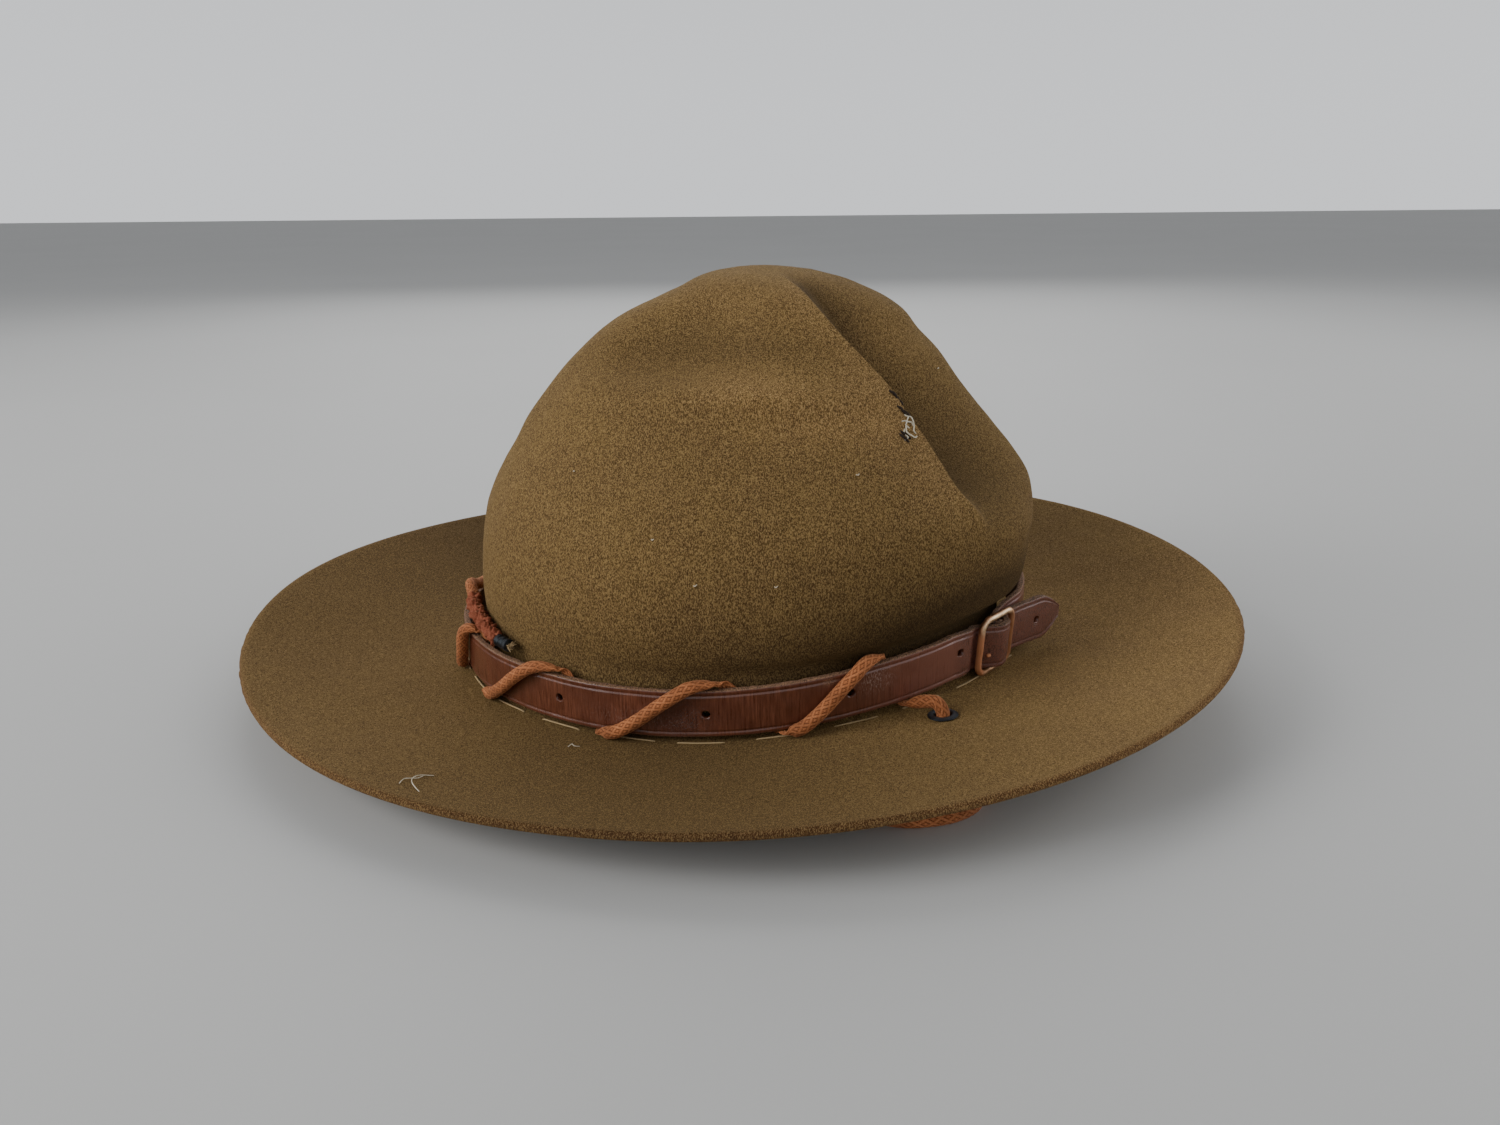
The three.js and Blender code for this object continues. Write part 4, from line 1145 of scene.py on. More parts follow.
@dataclass
class Band:
    """The leather band: its oval, its run past the buckle and its creased section."""

    felt: FeltBody
    oval: Oval = Oval(104.0, 88.0)
    thick: float = 2.4
    tall: float = 16.0
    lowest: float = 4.4
    loose: tuple[float, float, float, float] = (125.0, 38.0, 60.0, 4.5)
    azimuth: float = 66.5
    drop: float = 1.6
    drop_reach: tuple[float, float] = (3.0, 13.0)
    lean_reach: tuple[float, float] = (11.0, 18.0)
    bar_out: float = 5.2
    join: float = 13.5
    step: float = 1.1
    hole: float = 2.8
    swing: float = 9.0
    tilt: float = 5.0
    roll: float = 2.5

    def __post_init__(self) -> None:
        """Works out the buckle's place and its axes."""
        self.plan = self.felt.foot.frame(np.array(self.azimuth))
        self.height = float(self.middle_height(np.array(self.azimuth)))
        _, out, along = self.plan
        level = Matrix((tuple(along), tuple(-out), tuple(UP))).transposed()
        turn = (
            Matrix.Rotation(math.radians(-self.swing), 3, "Z")
            @ Matrix.Rotation(math.radians(self.tilt), 3, "X")
            @ Matrix.Rotation(math.radians(-self.roll), 3, "Y")
        )
        axes = np.array(level @ turn)
        self.width_axis, self.face_axis, self.height_axis = axes[:, 0], -axes[:, 1], axes[:, 2]
        radius = math.hypot(self.oval.half_width * out[1], self.oval.half_length * out[0])
        self.mm_per_degree = math.radians(radius)

    def middle_height(self, azimuth: Array) -> Array:
        """The height of the band's middle: its lower edge, half its height, less the buckle's pull."""
        edge = np.maximum(self.lowest, RIM.round("strap", azimuth))
        away = np.abs(turn_between(azimuth, self.azimuth))
        return edge + self.tall / 2 - self.drop * (1 - smoothstep(away, *self.drop_reach))

    def at(self, azimuth: Array, out: Array, up: Array) -> Array:
        """Points by azimuth, measured out and up from the middle of the band's section.

        Args:
            azimuth: azimuths in degrees.
            out: distances out.
            up: distances up.

        Returns:
            The points.
        """
        azimuth = np.asarray(azimuth, float)
        foot, away, _ = self.oval.frame(azimuth)
        middle, level, spread, most = self.loose
        loose = most * (1 - smoothstep(np.abs(turn_between(azimuth, middle)), level, spread))
        return foot + away * (loose + out)[..., None] + UP * (self.middle_height(azimuth) + up)[..., None]

    def at_buckle(self, along: Array, out: Array, up: Array) -> Array:
        """Points by their place at the buckle: along the strap, out from the crown's tangent, up."""
        foot, away, run = self.plan
        along, out, up = np.broadcast_arrays(*(np.asarray(v, float) for v in (along, out, up)))
        return foot + run * along[..., None] + away * out[..., None] + UP * (self.height + up)[..., None]

    def stations(self) -> dict[str, Array]:
        """The strap's rows from its folded end, round the hat and past the buckle to its tip.

        Returns:
            The middles, half thickness, height, lean and azimuth of each row.
        """
        fixed, free = FIXED_END, FREE_END
        turn = np.arange(self.join, 360 - self.join + 0.1, 1.5)
        follow = lambda along: self.middle_height(self.azimuth + along / self.mm_per_degree) - self.height
        fixed_along, free_along = fixed.column("along"), free.column("along")
        fixed_up = np.where(fixed_along > 3, follow(fixed_along), 0.0)
        free_up = np.where(free_along < 0, follow(free_along), 0.0)
        zeros = np.zeros(len(turn))
        middles = np.concatenate([
            self.at_buckle(fixed_along, fixed.column("out"), fixed_up),
            self.at(self.azimuth + turn, zeros, zeros),
            self.at_buckle(free_along, free.column("out"), free_up),
        ])
        rows = np.concatenate([
            middles,
            np.concatenate([fixed.column("half"), zeros + self.thick / 2, free.column("half")])[:, None],
            np.concatenate([np.ones(len(fixed_along)), zeros + 1, free.column("tall")])[:, None],
            np.concatenate([1 - smoothstep(np.abs(fixed_along), *self.lean_reach), zeros,
                            1 - smoothstep(np.abs(free_along), *self.lean_reach)])[:, None],
            np.concatenate([np.full(len(fixed_along), self.azimuth), self.azimuth + turn,
                            np.full(len(free_along), self.azimuth + 360)])[:, None],
        ], axis=1)
        fine = catmull_rom(rows, np.linspace(0, len(rows) - 1, 8 * len(rows)))
        fine = resample(fine, fine[:, :3], self.step)
        return {"center": fine[:, :3]} | dict(zip(("half", "tall", "lean", "azimuth"), fine[:, 3:].T))

    def section(self) -> Array:
        """The strap's section: two long faces with rounded corners, the outer one creased near both
        edges; wide and thick run from -1 to 1.

        Returns:
            Its points as (wide, thick).
        """
        flat = 0.94
        face = np.linspace(-flat, flat, 45)
        crease = 0.34 * np.exp(-(((np.abs(face) - 0.79) / 0.032) ** 2))
        swell = 0.05 * (1 - face**2)
        outer = np.stack([face, 1 - crease + swell], axis=1)
        corner = np.radians(np.array([20.0, 45.0, 70.0]))
        round_top = np.stack([flat + (1 - flat) * np.sin(corner), 0.62 + 0.38 * np.cos(corner)], axis=1)
        edge = np.stack([np.full(3, 1.0), np.array([0.45, 0.0, -0.45])], axis=1)
        edge[:, 0] += 0.012 * np.array([1, -0.6, 1])
        round_low = round_top[::-1] * np.array([1, -1])
        inner = np.stack([np.linspace(flat, -flat, 13), np.full(13, -1.0)], axis=1)
        right = np.concatenate([round_top, edge, round_low])
        left = right[::-1] * np.array([-1, 1])
        return np.concatenate([outer, right, inner, left])

    def build(self, material: Material) -> Piece:
        """Makes the strap and punches its holes.

        Args:
            material: its finish.

        Returns:
            The piece.
        """
        rows = self.stations()
        center = rows["center"]
        run = unit(np.gradient(center, axis=0))
        wide = unit(UP * (1 - rows["lean"][:, None]) + self.height_axis * rows["lean"][:, None])
        across = unit(np.cross(run, wide))
        wide = wide * (rows["tall"] * self.tall / 2)[:, None]
        section = self.section()
        points = carried(center, wide, across * rows["half"][:, None], section)
        waver = uneven(points, STRAP_WAVES)
        edge_mark = np.broadcast_to(smoothstep(np.abs(section[:, 0]), 0.955, 0.985), points.shape[:2])
        nibble = uneven(points, STRAP_EDGE_WAVES) * edge_mark * np.sign(section[:, 0])
        points = points + across[:, None] * waver[..., None] + unit(wide)[:, None] * nibble[..., None]
        azimuth = rows["azimuth"][:, None]
        up = section[None, :, 0]
        worn = {
            mark: sum(strength * patch(azimuth, up, *place) for *place, strength in places)
            for mark, places in STRAP_WEAR.items()
        }
        (fixed_grey, fixed_end), (free_grey, *free_start) = FIXED_GREY, FREE_GREY
        grey = fixed_grey * (azimuth < fixed_end) + free_grey * smoothstep(azimuth, *free_start)
        marks = {
            "raw": np.maximum(np.maximum(edge_mark, worn["raw"]), INNER_RAW * (section[:, 1] < -0.9)),
            "scuff": np.clip(worn["scuff"], 0, 1),
            "crackle": np.clip(worn["crackle"], 0, 1),
            "grey": np.broadcast_to(grey, edge_mark.shape),
        }
        piece = Skin(points, lengths(center), lengths(section) * 8, marks).build("leather_strap", material)
        holes = [(self.at(at, 0.0, up), self.oval.frame(at)[1]) for at, up in BAND_HOLES]
        holes.append((self.at_buckle(*TIP_HOLE, 0.0), self.plan[1]))
        for middle, out in holes:
            cut_round_hole(piece, middle, out, self.hole, 3 * self.thick, 24)
        return piece


# the strap's two ends at the buckle: along the strap, out from the crown, half thickness and share
# of its height
FIXED_END = Table("along out half", [
    (1.6, 7.05, 0.55), (0, 7.05, 0.55), (-1.3, 6.5, 0.55), (-1.85, 5.2, 0.55), (-1.3, 3.9, 0.55),
    (0.2, 3.35, 0.55), (3, 2.9, 0.6), (6.5, 2.6, 0.7), (10, 2.7, 0.8), (15, 3.2, 1),
])
FREE_END = Table("along out half tall", [
    (-16.5, 2.1, 1.2, 1), (-12.6, 2.3, 1.2, 1), (-10.6, 1.7, 1.2, 1), (-8.8, 1.9, 1.2, 1),
    (-7.2, 3.2, 1.2, 1), (-5.6, 5.2, 1.2, 1), (-3.9, 7.6, 1.2, 1), (-2, 9.2, 1.2, 1),
    (0, 9.6, 1.2, 1), (2.1, 9.2, 1.2, 1), (4, 7.9, 1.2, 1), (5.7, 6.3, 1.2, 1), (7.3, 5.3, 1.2, 1),
    (9, 5, 1.2, 1), (11.5, 5.3, 1.2, 1), (16, 6.3, 1.2, 1), (24, 8.3, 1.2, 1), (31, 10.3, 1.2, 1),
    (35.5, 11.5, 1.2, 0.75), (40.5, 12.7, 1.1, 0.28),
])
# the strap's holes: azimuth and height over its middle, and of the one in its tip along and out
BAND_HOLES = ((-25.7, 0.4), (3.2, 0.0), (29.1, 0.6), (54.6, 1.2))
TIP_HOLE = (27.0, 9.0)
# worn places of the strap by mark: azimuth, place across its face, half width in degrees, half
# height, strength; the crackle at the buckle runs over the whole height
STRAP_WEAR = {
    "crackle": ((-1.0, -0.25, 4.5, 0.7, 1.0), (66.5, 0.0, 8.0, math.inf, 0.9)),
    "scuff": ((34.0, 0.35, 3.2, 0.45, 1.0), (-8.0, -0.3, 9.0, 0.4, 0.35)),
    "raw": ((25.0, 0.78, 1.3, 0.16, 0.9),),
}
# greyer stretches of the strap: strength, then where the first ends and where the second comes up
FIXED_GREY = (0.6, 100.0)
FREE_GREY = (0.75, 384.0, 414.0)
INNER_RAW = 0.8


@dataclass
class Buckle:
    """The roller-less wire buckle: a rounded frame with a centre bar, and its prong."""

    band: Band
    width: float = 20.4
    height: float = 22.6
    wire: float = 2.3
    corner: float = 5.0
    bar: float = 2.0
    set_back: float = 1.3
    prong_wire: float = 1.4
    eye: float = 1.95
    prong_up: float = -3.4
    tip: float = -7.2
    eye_turn: tuple[float, float, float] = (190.0, 451.0, 13.0)
    frame_sides: int = 20
    bar_sides: int = 16

    def frame(self, material: Material) -> Piece:
        """Makes the frame: a round wire carried round a rounded rectangle, slightly flattened.

        Args:
            material: its finish.

        Returns:
            The piece.
        """
        band = self.band
        middle = band.at_buckle(0.0, band.bar_out, 0.0) + band.face_axis * self.set_back
        half = np.array([self.width - self.wire, self.height - self.wire]) / 2
        radius = self.corner - self.wire / 2
        plan, out = rounded_rectangle(half, radius, 0.45)
        centers = middle + plan[:, :1] * band.width_axis + plan[:, 1:] * band.height_axis
        wide = (out[:, :1] * band.width_axis + out[:, 1:] * band.height_axis) * self.wire / 2
        thick = np.broadcast_to(band.face_axis * self.wire / 2, wide.shape)
        section = circle(self.frame_sides)
        points = carried(centers, wide, thick, section)
        points = points + uneven(points, WIRE_WAVES)[..., None] * unit(points - centers[:, None])
        height_share = plan[:, 1:] / half[1]
        side_share = plan[:, :1] / half[0]
        facing = np.broadcast_to(section[None, :, 1], points.shape[:2])
        # the worn mark is partly wear on the wire's outward face and partly a painted highlight that grows
        # towards the top; the right bar is darker, with less bright metal and more rust
        worn = smoothstep(facing, 0.1, 0.9) * (0.35 + 0.65 * smoothstep(height_share, 0.2, 0.9))
        rusty = smoothstep(-side_share, 0.55, 0.9) * (1 - smoothstep(height_share, 0.35, 0.85))
        rusty = rusty * np.ones_like(facing)
        dark = smoothstep(side_share, 0.6, 0.95)
        marks = {"worn": np.clip(worn * (1 - 0.8 * dark), 0, 1), "rusty": np.clip(rusty + 0.35 * dark, 0, 1)}
        around = np.arange(self.frame_sides) / self.frame_sides
        return Skin(points, lengths(centers), around, marks, loops_back=True).build("buckle_wire", material)

    def centre_bar(self, material: Material) -> Piece:
        """Makes the bar on which the prong turns.

        Args:
            material: its finish.

        Returns:
            The piece.
        """
        band = self.band
        middle = band.at_buckle(0.0, band.bar_out, 0.0)
        reach = self.height / 2 - self.wire / 2
        centers = middle + np.linspace(-reach, reach, 24)[:, None] * band.height_axis
        half = self.bar / 2
        points = carried(centers, np.broadcast_to(band.width_axis * half, centers.shape),
                         np.broadcast_to(band.face_axis * half, centers.shape), circle(self.bar_sides))
        marks = {"worn": np.zeros(points.shape[:2]), "rusty": np.full(points.shape[:2], 0.6)}
        around = np.arange(self.bar_sides) / self.bar_sides
        return Skin(points, lengths(centers), around, marks).build("buckle_bar", material)

    def prong(self, material: Material) -> Piece:
        """Makes the prong: an eye round the bar and a short tongue with a rounded, rusted tip.

        Args:
            material: its finish.

        Returns:
            The piece.
        """
        band = self.band
        turn = np.radians(np.arange(*self.eye_turn))
        along = np.concatenate([self.eye * np.cos(turn), np.linspace(0, self.tip, 9)[1:]])
        out = np.concatenate([self.eye * np.sin(turn), np.full(8, self.eye)])
        centers = band.at_buckle(along, band.bar_out + out, 0.0) + band.height_axis * self.prong_up
        fine = catmull_rom(centers, np.linspace(0, len(centers) - 1, 5 * len(centers)))
        run = unit(np.gradient(fine, axis=0))
        across = unit(np.cross(run, UP))
        share = lengths(fine) / lengths(fine)[-1]
        fat = self.prong_wire / 2 * np.sqrt(np.clip(1 - smoothstep(share, 0.93, 1.0) ** 2, 0.05, 1))
        wide, thick = np.cross(across, run) * fat[:, None], across * fat[:, None]
        points = carried(fine, wide, thick, circle(self.bar_sides))
        marks = {"worn": np.full(points.shape[:2], 0.1), "rusty": np.full(points.shape[:2], 0.95)}
        around = np.arange(self.bar_sides) / self.bar_sides
        return Skin(points, lengths(fine), around, marks).build("buckle_tongue", material)


CORNER_STEPS = 12


def rounded_rectangle(half: Array, radius: float, step: float) -> tuple[Array, Array]:
    """The middle line of a rounded rectangle, at even steps, and the direction out of it.

    Args:
        half: its half width and half height.
        radius: its corner radius.
        step: the wanted step.

    Returns:
        Points and directions in the rectangle's plane.
    """
    number, turn = np.arange(4 * CORNER_STEPS), 90 / CORNER_STEPS
    angle, after = np.radians(number * turn), np.radians(number * turn) + np.radians(turn)
    sign = np.array([(1, 1), (-1, 1), (-1, -1), (1, -1)])[number // CORNER_STEPS]
    spoke = np.stack([np.cos(angle), np.sin(angle)], axis=1)
    corners = sign * (half - radius) + radius * spoke
    ends = np.stack([np.cos(after), np.sin(after)], axis=1)
    last = (number + 1) % CORNER_STEPS == 0
    extra = sign * (half - radius) + radius * ends
    path, way = (
        np.concatenate([np.stack([a[i], b[i]]) if last[i] else a[i:i + 1] for i in number])
        for a, b in ((corners, extra), (spoke, ends))
    )
    both = np.concatenate([path, way], axis=1)
    both = np.concatenate([both, both[:1]])
    fine = resample(both, both[:, :2], step)[:-1]
    return fine[:, :2], unit(fine[:, 2:])


# ------------------------------------------------------------------ the lace

# the azimuths at which the lace goes under the band and comes over it
CROSSINGS = ((40.3, 34.7), (17.0, 4.6), (-16.9, -26.8), (-48.6, -56.5))
# one winding, behind the band and then across its face, by the share of the way along it
INNER_LEG = Table("share out up thick", [
    (0, 0, -8.9, 1), (0.04, -1.75, -8.85, 1), (0.14, -2.4, -6.6, 1.2), (0.55, -2.3, 1, 1.6),
    (0.86, -2.05, 8.4, 1),
])
OUTER_LEG = Table("share out up thick", [
    (0, -0.5, 9.7, 1.7), (0.06, 0.4, 10.05, 2.8), (0.13, 1.5, 10.15, 3.4), (0.21, 2.7, 9.6, 3.8),
    (0.3, 3.6, 7.7, 4.3), (0.45, 3.75, 3.6, 4.4), (0.63, 3.75, -1.9, 4.4), (0.8, 3.75, -6.2, 4.4),
    (0.9, 3.55, -7.5, 3.9), (0.955, 3, -8.5, 1.2),
])
# the lace from the eyelet to the band, its left end and its right end
EYELET_LEAD = Table("azimuth out up thick", [
    (43.2, 11.7, -6, 4.2), (42.5, 9, -6.2, 4.4), (41.7, 6, -7.2, 4.2), (41, 3.6, -8.2, 3),
    (40.6, 2, -8.95, 1.2),
])
LEFT_TUCK = Table("azimuth out up thick", [
    (-66.3, 0, -8.9, 1.2), (-67, -2, -8.9, 1.2), (-69, -2.7, -6, 1.4), (-74, -2.35, 3, 1.6),
])
RIGHT_END = Table("azimuth out up thick", [
    (256, -1.4, 9.9, 2.2), (264, -1.1, 10.2, 3.6), (271, -1.2, 11, 4.4), (276, -1, 12.8, 4.4),
    (280, -1, 15.4, 4.4), (283.5, -1.8, 15.8, 4.4), (287, -2.8, 14, 4.4), (292, -3, 13.4, 4.4),
    (298, -2.8, 13.4, 4.4), (304, -2.5, 13.2, 4.4), (309, -2.3, 11.9, 4.4), (313, -2.1, 11, 3.8),
])
# the last crossing before the right end, and where the aglet begins and ends
LAST_RISE = (228.6, 250.0)
AGLET_SPAN = (313.6, 318.0)
# the azimuths between which the right end is frayed, and over how many degrees that comes up
FRAYED_SPAN = (286.0, 322.0)
FRAYED_RAMP = 3.0
# the free stretch: its middle line, which lies on the surface at REST
REST = LACE / 2
LOOP_ROUTE = np.array([
    (74.8, 81.3, 5), (78.4, 83.4, 2.9), (85, 86.4, REST), (96, 90, REST), (105, 91.2, REST),
    (113, 89.5, REST), (119, 84, REST), (122.6, 76.5, REST), (124, 69, REST), (122.6, 62, REST),
    (118, 55.5, REST), (110.5, 50.5, REST), (101, 46.5, REST), (89, 42.8, REST), (74, 39.4, REST),
    (56, 36, REST), (36, 33.5, REST), (14, 32.2, REST), (-14, 32, REST), (-36, 33, REST),
    (-56, 35, REST), (-74, 38, REST), (-88, 42.5, REST), (-97, 49, REST), (-101, 58.5, REST),
    (-98.5, 68.5, REST), (-91.5, 76.5, REST), (-81.5, 82, 3), (-76, 82, 6.2),
])


@dataclass
class Lace:
    """The brown lace: two halves wound on the band and a free stretch below the brim."""

    band: Band
    sides: int = 40
    step: float = 0.3
    strands: int = 10
    pitch: float = 11.0
    relief: float = 0.15
    fray: float = 1.15
    aglet_radius: float = 2.2
    aglet_sides: int = 28
    crimps: tuple[float, float] = (0.3, 0.68)
    crimp_wide: float = 0.07
    crimp_deep: float = 0.16

    def skin(self, centers: Array, wide: Array, thick: Array, name: str, material: Material,
             frayed: Array | None = None) -> Piece:
        """Makes a braided tube: two families of helical strands, n a + 2 pi s / pitch and its mirror
        image, that pass over and under each other in a chequer of their own phases.

        Args:
            centers: the tube's middle line.
            wide: its half width across the flat, one vector a row.
            thick: its half thickness.
            name: the piece's name.
            material: its finish.
            frayed: how worn it is along its run.

        Returns:
            The tube.
        """
        run = lengths(centers)
        section = circle(self.sides)
        around = 2 * np.pi * np.arange(self.sides) / self.sides
        turn = 2 * np.pi * run[:, None] * self.strands / self.pitch / 2
        left, right = self.strands * around + turn, self.strands * around - turn
        over = 0.5 + 0.5 * np.tanh(3 * np.sin((left + right) / 4) * np.sin((left - right) / 4))
        weave = np.abs(np.cos(left / 2)) * over + np.abs(np.cos(right / 2)) * (1 - over)
        points = carried(centers, wide, thick, section)
        out = unit(points - centers[:, None])
        worn = np.zeros(len(centers)) if frayed is None else frayed
        crinkle = self.fray * uneven(points, FRAYED_WAVES)
        lift = self.relief * (weave - 0.7) + worn[:, None] * crinkle
        marks = {"weave": weave, "frayed": np.broadcast_to(worn[:, None], weave.shape)}
        skin = Skin(points + out * lift[..., None], run, np.arange(self.sides) / self.sides, marks)
        return skin.build(name, material)

    def wound(self, crossings: Sequence[tuple[float, float]]) -> Array:
        """Rows (azimuth, out, up, thick): behind the band from each under to its over, then across
        its face to the next under.

        Args:
            crossings: azimuths at which it goes under and comes over.

        Returns:
            The rows.
        """
        rows = []
        for (under, over), (next_under, _) in zip(crossings, crossings[1:]):
            for leg, start, end in ((INNER_LEG, under, over), (OUTER_LEG, over, next_under)):
                rows.append(np.column_stack([start + (end - start) * leg.column("share"), leg.rows[:, 1:]]))
        return np.concatenate(rows)

    def through_eyelet(self, azimuth: float) -> Array:
        """Rows (x, y, z, thick, azimuth) inside an eyelet and just above it."""
        top, up = self.band.felt.eyelet(azimuth)
        places = [top + up * (-FELT / 2 + GAP / 2), top + up * 1.6]
        return np.array([(*place, LACE, azimuth) for place in places])

    def half(self, rows: Array, eyelet: float, name: str, material: Material,
             worn: tuple[float, float] | None = None) -> Piece:
        """Makes a wound half; its flat side faces the middle of the band's section.

        Args:
            rows: azimuth, out, up and thick on the band.
            eyelet: the azimuth of the eyelet that it comes from.
            name: the piece's name.
            material: its finish.
            worn: azimuths between which it is frayed.

        Returns:
            The tube.
        """
        azimuth, out, up, thick = rows.T
        band_rows = np.column_stack([self.band.at(azimuth, out, up), thick, azimuth])
        rows = np.concatenate([self.through_eyelet(eyelet), band_rows])
        fine = catmull_rom(rows, np.linspace(0, len(rows) - 1, 14 * len(rows)))
        fine = resample(fine, fine[:, :3], self.step)
        center, azimuth = fine[:, :3], fine[:, 4]
        run = unit(np.gradient(center, axis=0))
        _, _, along = self.band.oval.frame(azimuth)
        away = unit(np.cross(along, run))
        wide = np.cross(run, away) * LACE / 2
        frayed = None
        if worn:
            start, end = worn
            rise, fall = (start, start + FRAYED_RAMP), (end - FRAYED_RAMP, end)
            frayed = smoothstep(azimuth, *rise) * (1 - smoothstep(azimuth, *fall))
        return self.skin(center, wide, away * fine[:, 3:4] / 2, name, material, frayed)

    def left(self, material: Material) -> Piece:
        """The half that comes up through the left eyelet and is tucked behind the band in front."""
        windings = self.wound((*CROSSINGS, (LEFT_TUCK.rows[0, 0], 0.0)))
        rows = np.concatenate([EYELET_LEAD.rows, windings, LEFT_TUCK.rows])
        return self.half(rows, self.band.felt.eyelet_azimuth, "lace_left_half", material)

    def right(self, material: Material) -> Piece:
        """The half that comes round the front, stands in a small loop and ends in the aglet.

        Args:
            material: its finish.

        Returns:
            The piece.
        """
        mirror = lambda azimuth: 180 - azimuth
        lead = EYELET_LEAD.rows.copy()
        lead[:, 0] = mirror(lead[:, 0])
        crossings = [(mirror(under), mirror(over)) for under, over in CROSSINGS]
        rise = self.wound((LAST_RISE, LAST_RISE))[:len(INNER_LEG.rows)]
        rows = np.concatenate([lead, self.wound(crossings), rise, RIGHT_END.rows])
        eyelet = mirror(self.band.felt.eyelet_azimuth)
        return self.half(rows, eyelet, "lace_right_half", material, FRAYED_SPAN)

    def loop(self, material: Material) -> Piece:
        """The free stretch from eyelet to eyelet.

        Args:
            material: its finish.

        Returns:
            The piece.
        """
        felt = self.band.felt
        left, left_up = felt.eyelet(felt.eyelet_azimuth)
        right, right_up = felt.eyelet(180 - felt.eyelet_azimuth)
        inside = -FELT / 2 - GAP / 2
        route = np.concatenate([
            [left + left_up * inside, left - left_up * (FELT + 2)], LOOP_ROUTE,
            [right - right_up * (FELT + 2), right + right_up * inside],
        ])
        path = centripetal(route, 40)
        path = resample(path, path, self.step)
        path[:, 2] = np.maximum(path[:, 2], REST)
        side, other = rolling_axes(path, np.array([0.0, 1.0, 0.0]))
        piece = self.skin(path, side * (REST - 0.04), other * (REST - 0.04), "lace_free_stretch", material)
        length = lengths(path)[-1] * MM
        return piece

    def aglet(self, material: Material) -> Piece:
        """The crimped metal tube on the lace's end: a round tube pressed in at two places.

        Args:
            material: its finish.

        Returns:
            The piece.
        """
        start, end = self.band.at(np.array(AGLET_SPAN), *RIGHT_END.rows[-1, 1:3])
        share = np.concatenate([[0.0], np.linspace(0.02, 0.98, 40), [1.0]])
        centers = start + share[:, None] * (end - start)
        run = unit(end - start)
        wide = unit(np.cross(run, UP))
        other = np.cross(wide, run)
        press = sum(self.crimp_deep * np.exp(-(((share - at) / self.crimp_wide) ** 2)) for at in self.crimps)
        radius = self.aglet_radius * np.where((share < 0.01) | (share > 0.99), 0.9, 1.0)
        section = circle(self.aglet_sides)
        wide, other = wide * (radius * (1 - press * 0.2))[:, None], other * (radius * (1 - press))[:, None]
        points = carried(centers, wide, other, section)
        marks = {"worn": np.broadcast_to(0.5 * smoothstep(-section[None, :, 1], 0.2, 0.9), points.shape[:2]),
                 "rusty": np.zeros(points.shape[:2])}
        around = np.arange(self.aglet_sides) / self.aglet_sides
        return Skin(points, lengths(centers), around, marks).build("aglet_tube", material)


def centripetal(points: Array, each: int) -> Array:
    """A centripetal Catmull-Rom curve through points: knots grow by the root of the chord, and each
    span is blended three times between its four points.

    Args:
        points: what the curve passes through.
        each: points a span.

    Returns:
        The curve's points.
    """
    ends = [2 * points[:1] - points[1:2], 2 * points[-1:] - points[-2:-1]]
    p = np.concatenate([ends[0], points, ends[1]])
    knots = np.concatenate([[0.0], np.cumsum(np.sqrt(np.linalg.norm(np.diff(p, axis=0), axis=1)))])
    spans = np.arange(1, len(p) - 2)
    share = np.linspace(0, 1, each, endpoint=False)
    t = (knots[spans, None] + (knots[spans + 1] - knots[spans])[:, None] * share)[..., None]
    k = [knots[spans + i - 1][:, None, None] for i in range(4)]
    q = [p[spans + i - 1][:, None, :] for i in range(4)]
    blend = lambda a, b, low, high: (high - t) / (high - low) * a + (t - low) / (high - low) * b
    first = [blend(q[i], q[i + 1], k[i], k[i + 1]) for i in range(3)]
    second = [blend(first[i], first[i + 1], k[i], k[i + 2]) for i in range(2)]
    curve = (k[2] - t) / (k[2] - k[1]) * second[0] + (t - k[1]) / (k[2] - k[1]) * second[1]
    return np.concatenate([curve.reshape(-1, 3), points[-1:]])


@dataclass
class Eyelet:
    """A pressed eyelet: a barrel through the felt with a rolled flange above and a flat one below."""

    felt: FeltBody
    hole: float = 5.4
    barrel: float = 6.2
    flange: float = 10.0
    sheet: float = 0.5
    sides: int = 56
    step: float = 0.16

    def build(self, azimuth: float, name: str, material: Material) -> Piece:
        """Makes the eyelet at an azimuth: its profile turned about the brim's normal.

        Args:
            azimuth: where it sits.
            name: the piece's name.
            material: its finish.

        Returns:
            The piece.
        """
        top, up = self.felt.eyelet(azimuth)
        hole, barrel, flange = self.hole / 2, self.barrel / 2, self.flange / 2
        above, below = GAP, -FELT - GAP
        profile = np.array([
            (hole, below - self.sheet + 0.15), (hole + 0.2, below - self.sheet),
            (flange - 1.1, below - self.sheet), (flange - 1, below - 0.2), (flange - 1.1, below),
            (barrel, below), (barrel, above), (flange - 0.1, above),
            (flange, above + 0.08), (flange - 0.12, above + 0.28), (flange - 0.7, above + self.sheet),
            (hole + 0.8, above + self.sheet + 0.18), (hole + 0.25, above + self.sheet), (hole, above + 0.1),
        ])
        side = unit(np.cross(up, [0.0, 1.0, 0.0]))
        other = np.cross(up, side)
        turn = 2 * np.pi * np.arange(self.sides) / self.sides
        spoke = side * np.cos(turn)[:, None] + other * np.sin(turn)[:, None]
        closed = np.concatenate([profile, profile[:1]])
        fine = resample(closed, closed, self.step)[:-1]
        points = top + spoke[:, None] * fine[None, :, :1] + up * fine[None, :, 1:]
        worn = smoothstep(fine[:, 1], above + 0.2, above + self.sheet + 0.1)
        marks = {"worn": np.broadcast_to(worn * 0.6, points.shape[:2]), "rusty": np.zeros(points.shape[:2])}
        return Skin(points, turn * flange, lengths(fine), marks, loops_back=True).build(name, material)


# ------------------------------------------------------------------ threads and lint


STRAND_SIDES = 6


